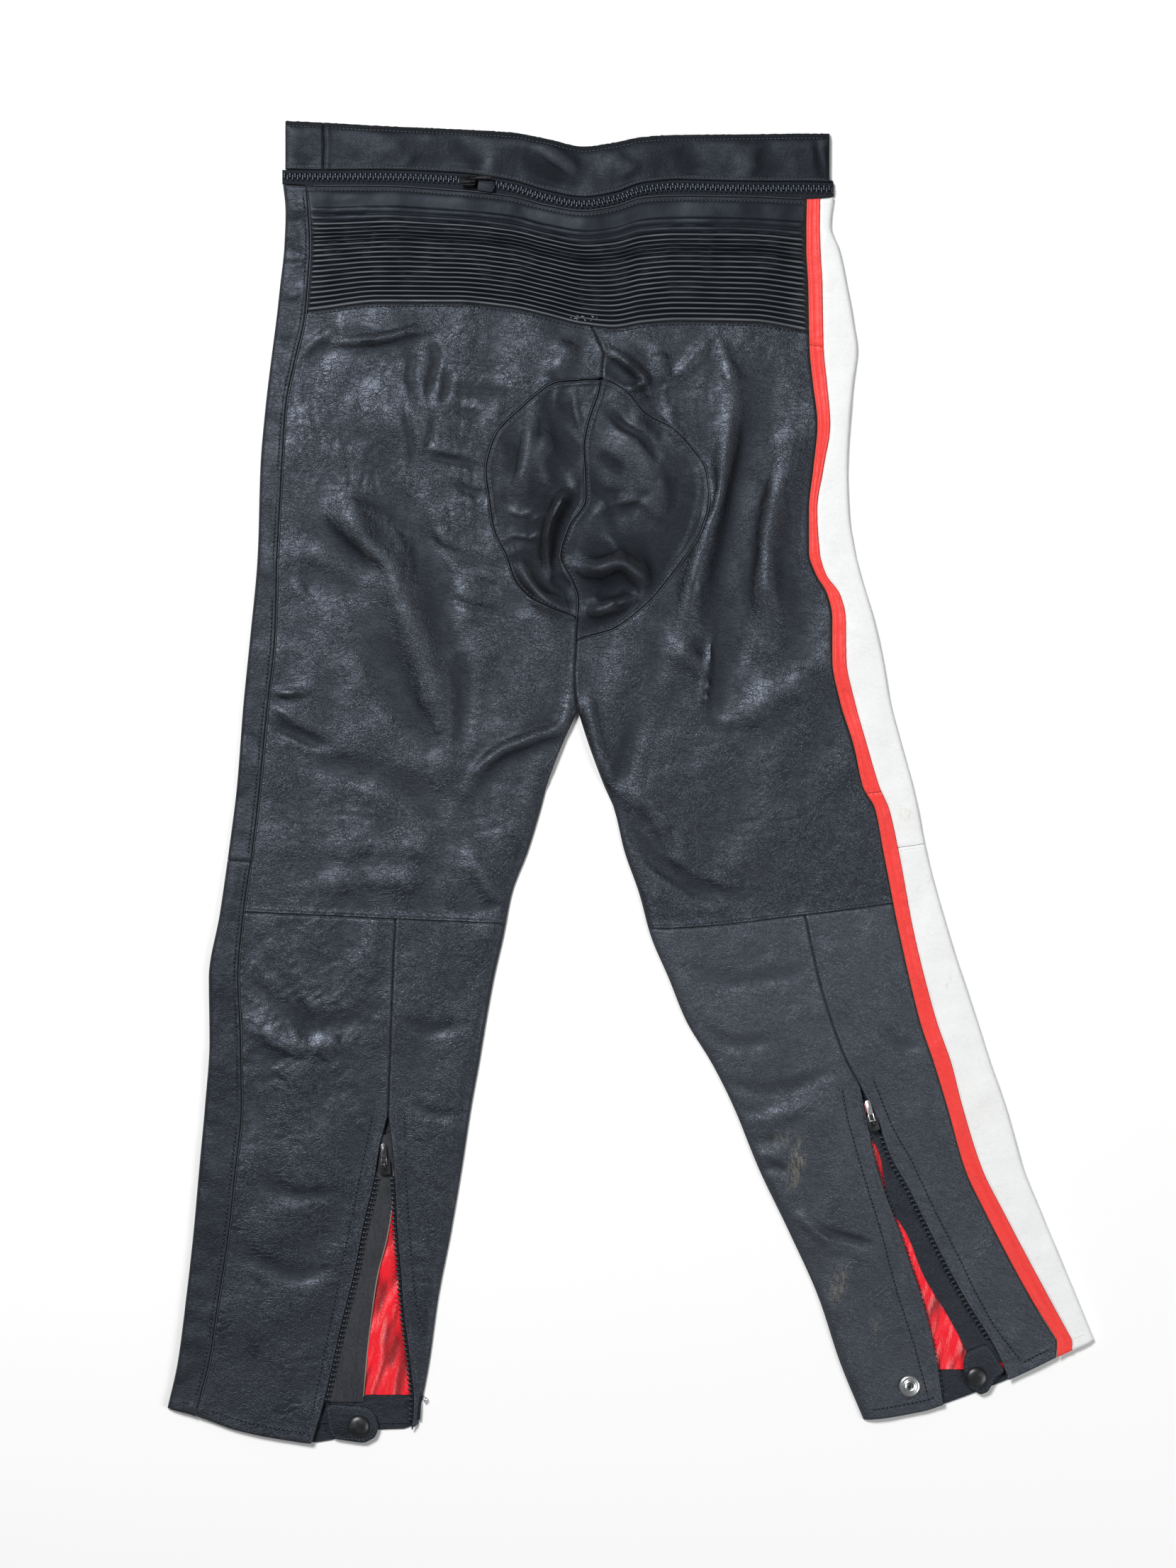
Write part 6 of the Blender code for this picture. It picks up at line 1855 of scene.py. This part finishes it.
# %% [markdown]
# ## Plates, turned pieces and tabs
#
# The sliders, pulls and tabs are flat pieces cut to an outline, so each starts as a circle whose
# points move to the outline, and is filled, extruded and bevelled. The snaps are turned: half of
# their section is spun round their axis.


# %% Plates and turned pieces
def rounded(outline, times=2, cut=0.22):
    """Cuts the corners of an outline, as often as asked."""
    outline = np.array(outline, float)
    for _ in range(times):
        ahead = np.roll(outline, -1, axis=0)
        outline = np.stack(((1 - cut) * outline + cut * ahead, cut * outline + (1 - cut) * ahead),
                           axis=1).reshape(-1, 2)
    return outline


def plate(outline, thickness, bevel=0.2, segments=2):
    """A plate in the x-y plane, from z = 0 up, in millimetres."""
    deselect()
    bpy.ops.mesh.primitive_circle_add(vertices=len(outline), radius=1.0, fill_type="NGON")
    made = bpy.context.object
    for vertex, (x, y) in zip(made.data.vertices, outline):
        vertex.co = Vector((x, y, 0)) * MM
    mode("EDIT")
    bpy.ops.mesh.select_all(action="SELECT")
    bpy.ops.mesh.extrude_region_move(TRANSFORM_OT_translate={"value": (0, 0, thickness * MM)})
    bpy.ops.mesh.select_all(action="SELECT")
    bpy.ops.mesh.normals_make_consistent(inside=False)
    mode("OBJECT")
    edge = made.modifiers.new("Edge", "BEVEL")
    edge.width = bevel * MM
    edge.segments = segments
    edge.limit_method = "ANGLE"
    edge.angle_limit = math.radians(50)
    bpy.ops.object.modifier_apply(modifier=edge.name)
    bpy.ops.object.shade_smooth_by_angle(angle=math.radians(40))
    return made


def turned_piece(profile, steps=48):
    """A closed turned piece. The profile runs from the axis above to the axis below."""
    deselect()
    bpy.ops.mesh.primitive_circle_add(vertices=len(profile), radius=1.0, fill_type="NOTHING")
    made = bpy.context.object
    for vertex, (radius, z) in zip(made.data.vertices, profile):
        vertex.co = Vector((radius, 0, z)) * MM
    for edge in made.data.edges:
        edge.select = all(abs(made.data.vertices[i].co.x) < 1e-9 for i in edge.vertices)
    for item in list(made.data.vertices) + list(made.data.polygons):
        item.select = False
    mode("EDIT")
    bpy.ops.mesh.select_mode(type="EDGE")
    bpy.ops.mesh.delete(type="EDGE_FACE")
    bpy.ops.mesh.select_all(action="SELECT")
    bpy.ops.mesh.spin(steps=steps, angle=2 * math.pi, center=(0, 0, 0), axis=(0, 0, 1))
    bpy.ops.mesh.select_all(action="SELECT")
    bpy.ops.mesh.remove_doubles(threshold=1e-6)
    bpy.ops.mesh.normals_make_consistent(inside=False)
    bpy.ops.mesh.select_mode(type="VERT")
    mode("OBJECT")
    bpy.ops.object.shade_smooth_by_angle(angle=math.radians(35))
    return made


def set_down(piece, matrix):
    """Moves the mesh and leaves its object at the origin."""
    piece.data.transform(matrix @ piece.matrix_world)
    piece.matrix_world = Matrix.Identity(4)
    piece.data.update()
    return piece


def spot(x, drop, z):
    return Matrix.Translation(Vector((x, LENGTH / 2 - drop, z)) * MM)


# %% Snap tabs
TAB_UNDER = 4.6
TAB_LEFT = ((-237, 994.5), (-203, 997), (-197.5, 1003), (-195, 1013), (-198, 1020.5),
            (-206.5, 1025), (-233, 1021))
TAB_RIGHT = ((259, 955), (275, 948), (280, 953), (290, 969), (283, 974), (277, 985),
             (271, 987.5), (261, 981), (257.5, 965))


def tab(name, corners, cap_name, cap_x, cap_drop):
    """A leather tab with stitches round it, and the cap of its snap."""
    outline = rounded([(x, LENGTH / 2 - drop) for x, drop in corners][::-1], 3, 0.13)
    piece = set_down(plate(outline, WALL, 0.45, 3), Matrix.Translation((0, 0, TAB_UNDER * MM)))
    for mark in ("crest", "hollow", "rub"):
        piece.data.attributes.new(mark, "FLOAT", "POINT")
    finish_piece(piece, name + "_leather", smooth_leather, replaces=(name,))
    middle = outline.mean(axis=0)
    ring = np.vstack((outline, outline[:1]))
    inset = ring + (middle - ring) / np.linalg.norm(ring - middle, axis=1)[:, None] * 2.3
    places, direction = walk(inset, 3.0)
    flat = np.zeros(len(places))
    axes = np.stack((np.column_stack((direction, flat)),
                     np.column_stack((-direction[:, 1], direction[:, 0], flat)),
                     np.tile([0, 0, 1.0], (len(places), 1))), axis=1)
    seam = copies(STITCH, np.column_stack((places, flat + TAB_UNDER + WALL + 0.05)), axes)
    finish_piece(seam, name + "_stitches", black_thread)
    cap = turned_piece(((0, 3.0), (2.6, 2.97), (4.6, 2.78), (6.3, 2.36), (7.5, 1.75), (8.2, 1.05),
                        (8.4, 0.55), (8.25, 0.12), (7.8, 0.0), (0, 0)))
    set_down(cap, spot(cap_x, cap_drop, TAB_UNDER + WALL + 0.25))
    finish_piece(cap, cap_name + "_cap", dark_metal, replaces=(cap_name,))


tab("tab_left", TAB_LEFT, "snap_cap_left", -210.5, 1011.5)
tab("tab_right", TAB_RIGHT, "snap_cap_right", 268.0, 974.0)

# %% Snap ring and stud
ring_z = float(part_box("snap_ring_right")[0][2]) / MM
ring = turned_piece(((0, 0.55), (1.4, 0.55), (2.2, 0.7), (2.6, 1.4), (2.9, 2.05), (3.5, 2.25),
                     (4.1, 2.05), (4.5, 1.45), (5.0, 1.2), (6.4, 1.25), (7.2, 1.1), (7.9, 0.7),
                     (8.2, 0.3), (8.1, 0.0), (0, 0)))
set_down(ring, spot(216.0, 980.5, ring_z))
finish_piece(ring, "snap_ring_right_socket", bright_metal,
             replaces=("snap_ring_right",))
hole = turned_piece(((0, 0.75), (1.9, 0.72), (2.25, 0.5), (2.25, 0.0), (0, 0)), 24)
set_down(hole, spot(216.0, 980.5, ring_z))
finish_piece(hole, "snap_ring_right_hole", dark_metal)
stud = turned_piece(((0, 2.6), (1.2, 2.55), (1.65, 2.25), (1.8, 1.8), (1.4, 1.2), (1.5, 0.9),
                     (2.6, 0.8), (2.8, 0.5), (2.7, 0.1), (2.4, 0.0), (0, 0)), 32)
stud_x = float(INNER_LEGS.left(987.0)) + SEAM_GAP
set_down(stud, spot(stud_x, 991.0, 3.2) @ Matrix.Rotation(math.radians(90), 4, "Y"))
finish_piece(stud, "snap_stud_left_post", bright_metal, replaces=("snap_stud_left",))

# %% [markdown]
# ## Sliders and pull tabs
#
# A slider has two plates joined by a neck, with their long sides turned in to guide the teeth, and
# a bridge on top. The pull tab hangs on the bridge by a bar, and turns on it. The sliders stay where
# they are, and the pulls ride on bodies of their own.

# %% Sliders and pulls
SLIDER_PLATE = 1.2
BODY_HEIGHT = 3.8
EYE_FORWARD = 2.0
AXIS_ABOVE_PLATE = 1.4
PULL_DROOP = math.radians(9)
SHIELD = rounded(((-3.4, -6.3), (3.4, -6.3), (4.0, -5.0), (4.2, 1.5), (4.0, 5.2), (1.6, 6.5),
                  (-1.6, 6.5), (-4.0, 5.2), (-4.2, 1.5), (-4.0, -5.0)), 2)
ARCH = ((-2.6, 3.6), (-2.6, 4.6), (-1.9, 6.1), (-0.6, 6.85), (1.2, 7.0), (2.9, 6.75), (3.7, 5.9),
        (3.8, 4.6), (3.8, 3.6), (3.2, 3.6), (3.2, 5.2), (2.8, 5.95), (2.0, 6.2), (1.2, 5.95),
        (0.75, 5.2), (0.7, 3.6))
SIDE_WAYS = Matrix(((0, 0, 1, 0), (1, 0, 0, 0), (0, 1, 0, 0), (0, 0, 0, 1)))


def slider(name, matrix, finish):
    """A slider whose foot is at the middle of its lower plate, with its front at +y."""
    lower = plate(SHIELD, SLIDER_PLATE, 0.3, 2)
    upper = set_down(plate(SHIELD, SLIDER_PLATE, 0.35, 3),
                     Matrix.Translation((0, 0, (BODY_HEIGHT - SLIDER_PLATE) * MM)))
    neck = set_down(plate(((-1.4, 1.6), (0, 0.4), (1.4, 1.6), (1.5, 5.8), (-1.5, 5.8)), 2.0, 0.15, 1),
                    Matrix.Translation((0, 0, 0.9 * MM)))
    flanges = []
    for side in (-1, 1):
        flange = plate(((side * 3.3, -5.6), (side * 4.1, -5.2), (side * 4.15, 1.2), (side * 3.4, 1.8))
                       [::side], 0.5, 0.12, 1)
        flanges.append(set_down(flange, Matrix.Translation((0, 0, 2.15 * MM))))
    arch = plate(ARCH, 1.6, 0.3, 2)
    set_down(arch, SIDE_WAYS @ Matrix.Translation((0, 0, -0.8 * MM)))
    piece = join([lower, upper, neck, arch] + flanges)
    piece.data.transform(matrix)
    return finish_piece(piece, name + "_body", finish, replaces=(name,))


def pull(name, matrix, droop, finish, body):
    """A pull tab on its bar. The bar lies along x through the bridge's eye."""
    deselect()
    bpy.ops.mesh.primitive_cylinder_add(vertices=20, radius=0.6 * MM, depth=4.5 * MM,
                                        rotation=(0, math.radians(90), 0))
    bar = set_down(bpy.context.object, Matrix.Identity(4))
    arms = []
    for side in (-1, 1):
        arm = plate(rounded(((1.3, -0.6), (2.3, -0.6), (2.3, 5.4), (1.3, 5.4)), 1), 1.0, 0.22, 2)
        arm.data.transform(Matrix.Diagonal((side, 1, 1, 1)))
        if side < 0:
            arm.data.flip_normals()
        arms.append(set_down(arm, Matrix.Translation((0, 0, -0.5 * MM))))
    paddle = plate(rounded(((-2.3, 4.6), (2.3, 4.6), (2.15, 9.0), (2.3, 13.5), (1.5, 16.4),
                            (-1.5, 16.4), (-2.3, 13.5), (-2.15, 9.0)), 2), 1.0, 0.3, 3)
    set_down(paddle, Matrix.Translation((0, 0, -0.5 * MM)))
    grip = plate(rounded(((-1.3, 7.6), (1.3, 7.6), (1.2, 10.5), (1.3, 14.0), (-1.3, 14.0), (-1.2, 10.5)),
                         2), 1.3, 0.2, 2)
    set_down(grip, Matrix.Translation((0, 0, -0.65 * MM)))
    piece = join([bar, paddle, grip] + arms)
    eye = Matrix.Translation(Vector((0, EYE_FORWARD, BODY_HEIGHT + AXIS_ABOVE_PLATE)) * MM)
    piece.data.transform(matrix @ eye @ Matrix.Rotation(-droop, 4, "X"))
    bpy.ops.object.shade_smooth_by_angle(angle=math.radians(40))
    return finish_piece(piece, name + "_tab", finish, body, (name,))


left_slider = spot(-190.3, 810.5, TAPE_UNDER + 0.1) @ Matrix.Rotation(math.radians(4), 4, "Z")
slider("zip_left_slider", left_slider, dark_metal)
pull("zip_left_pull", left_slider, PULL_DROOP, grey_metal, "left_ankle_pull")

right_perch = float(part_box("zip_right_slider")[0][2]) / MM
right_slider = spot(187.5, 776.5, right_perch) @ Matrix.Rotation(math.radians(15), 4, "Z")
# The right slider's body is given the dark metal, which paints the shade it lies in; its pull stays
# bright.
slider("zip_right_slider", right_slider, dark_metal)
pull("zip_right_pull", right_slider, PULL_DROOP, bright_metal, "right_ankle_pull")

waist_axis = Vector(frame["joints"][0]["axis"])
waist_eye = Vector(frame["joints"][0]["pos_m"])
waist_up = waist_axis.cross(Vector((1, 0, 0))).normalized()
waist_frame = Matrix((waist_axis, Vector((1, 0, 0)), waist_up)).transposed().to_4x4()
waist_slider = (Matrix.Translation(waist_eye) @ waist_frame @ Matrix.Translation(
    Vector((0, -EYE_FORWARD, -BODY_HEIGHT - AXIS_ABOVE_PLATE)) * MM))
slider("waist_zip_slider", waist_slider, black_metal)
pull("waist_zip_pull", waist_slider, 0.0, dark_metal, "waist_pull")

# %% Retainer box of the waist zip
box_low, box_high = (Vector(corner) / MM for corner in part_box("waist_zip_box"))
box_middle = (box_low + box_high) / 2
shell = plate(rounded(((-6.2, -4.3), (6.2, -4.3), (6.2, 4.3), (-6.2, 4.3)), 2, 0.12), 2.9, 0.35, 2)
ridge = set_down(plate(rounded(((-5.4, 2.2), (5.4, 2.2), (5.4, 3.6), (-5.4, 3.6)), 1), 0.9, 0.25, 2),
                 Matrix.Translation((0, 0, 2.65 * MM)))
retainer = join([shell, ridge])
retainer.data.transform(
    Matrix.Translation(Vector((box_middle.x, box_middle.y, box_low.z)) * MM)
    @ Matrix.Rotation(math.radians(-8), 4, "Z"))
finish_piece(retainer, "waist_zip_retainer", box_plastic, replaces=("waist_zip_box",))
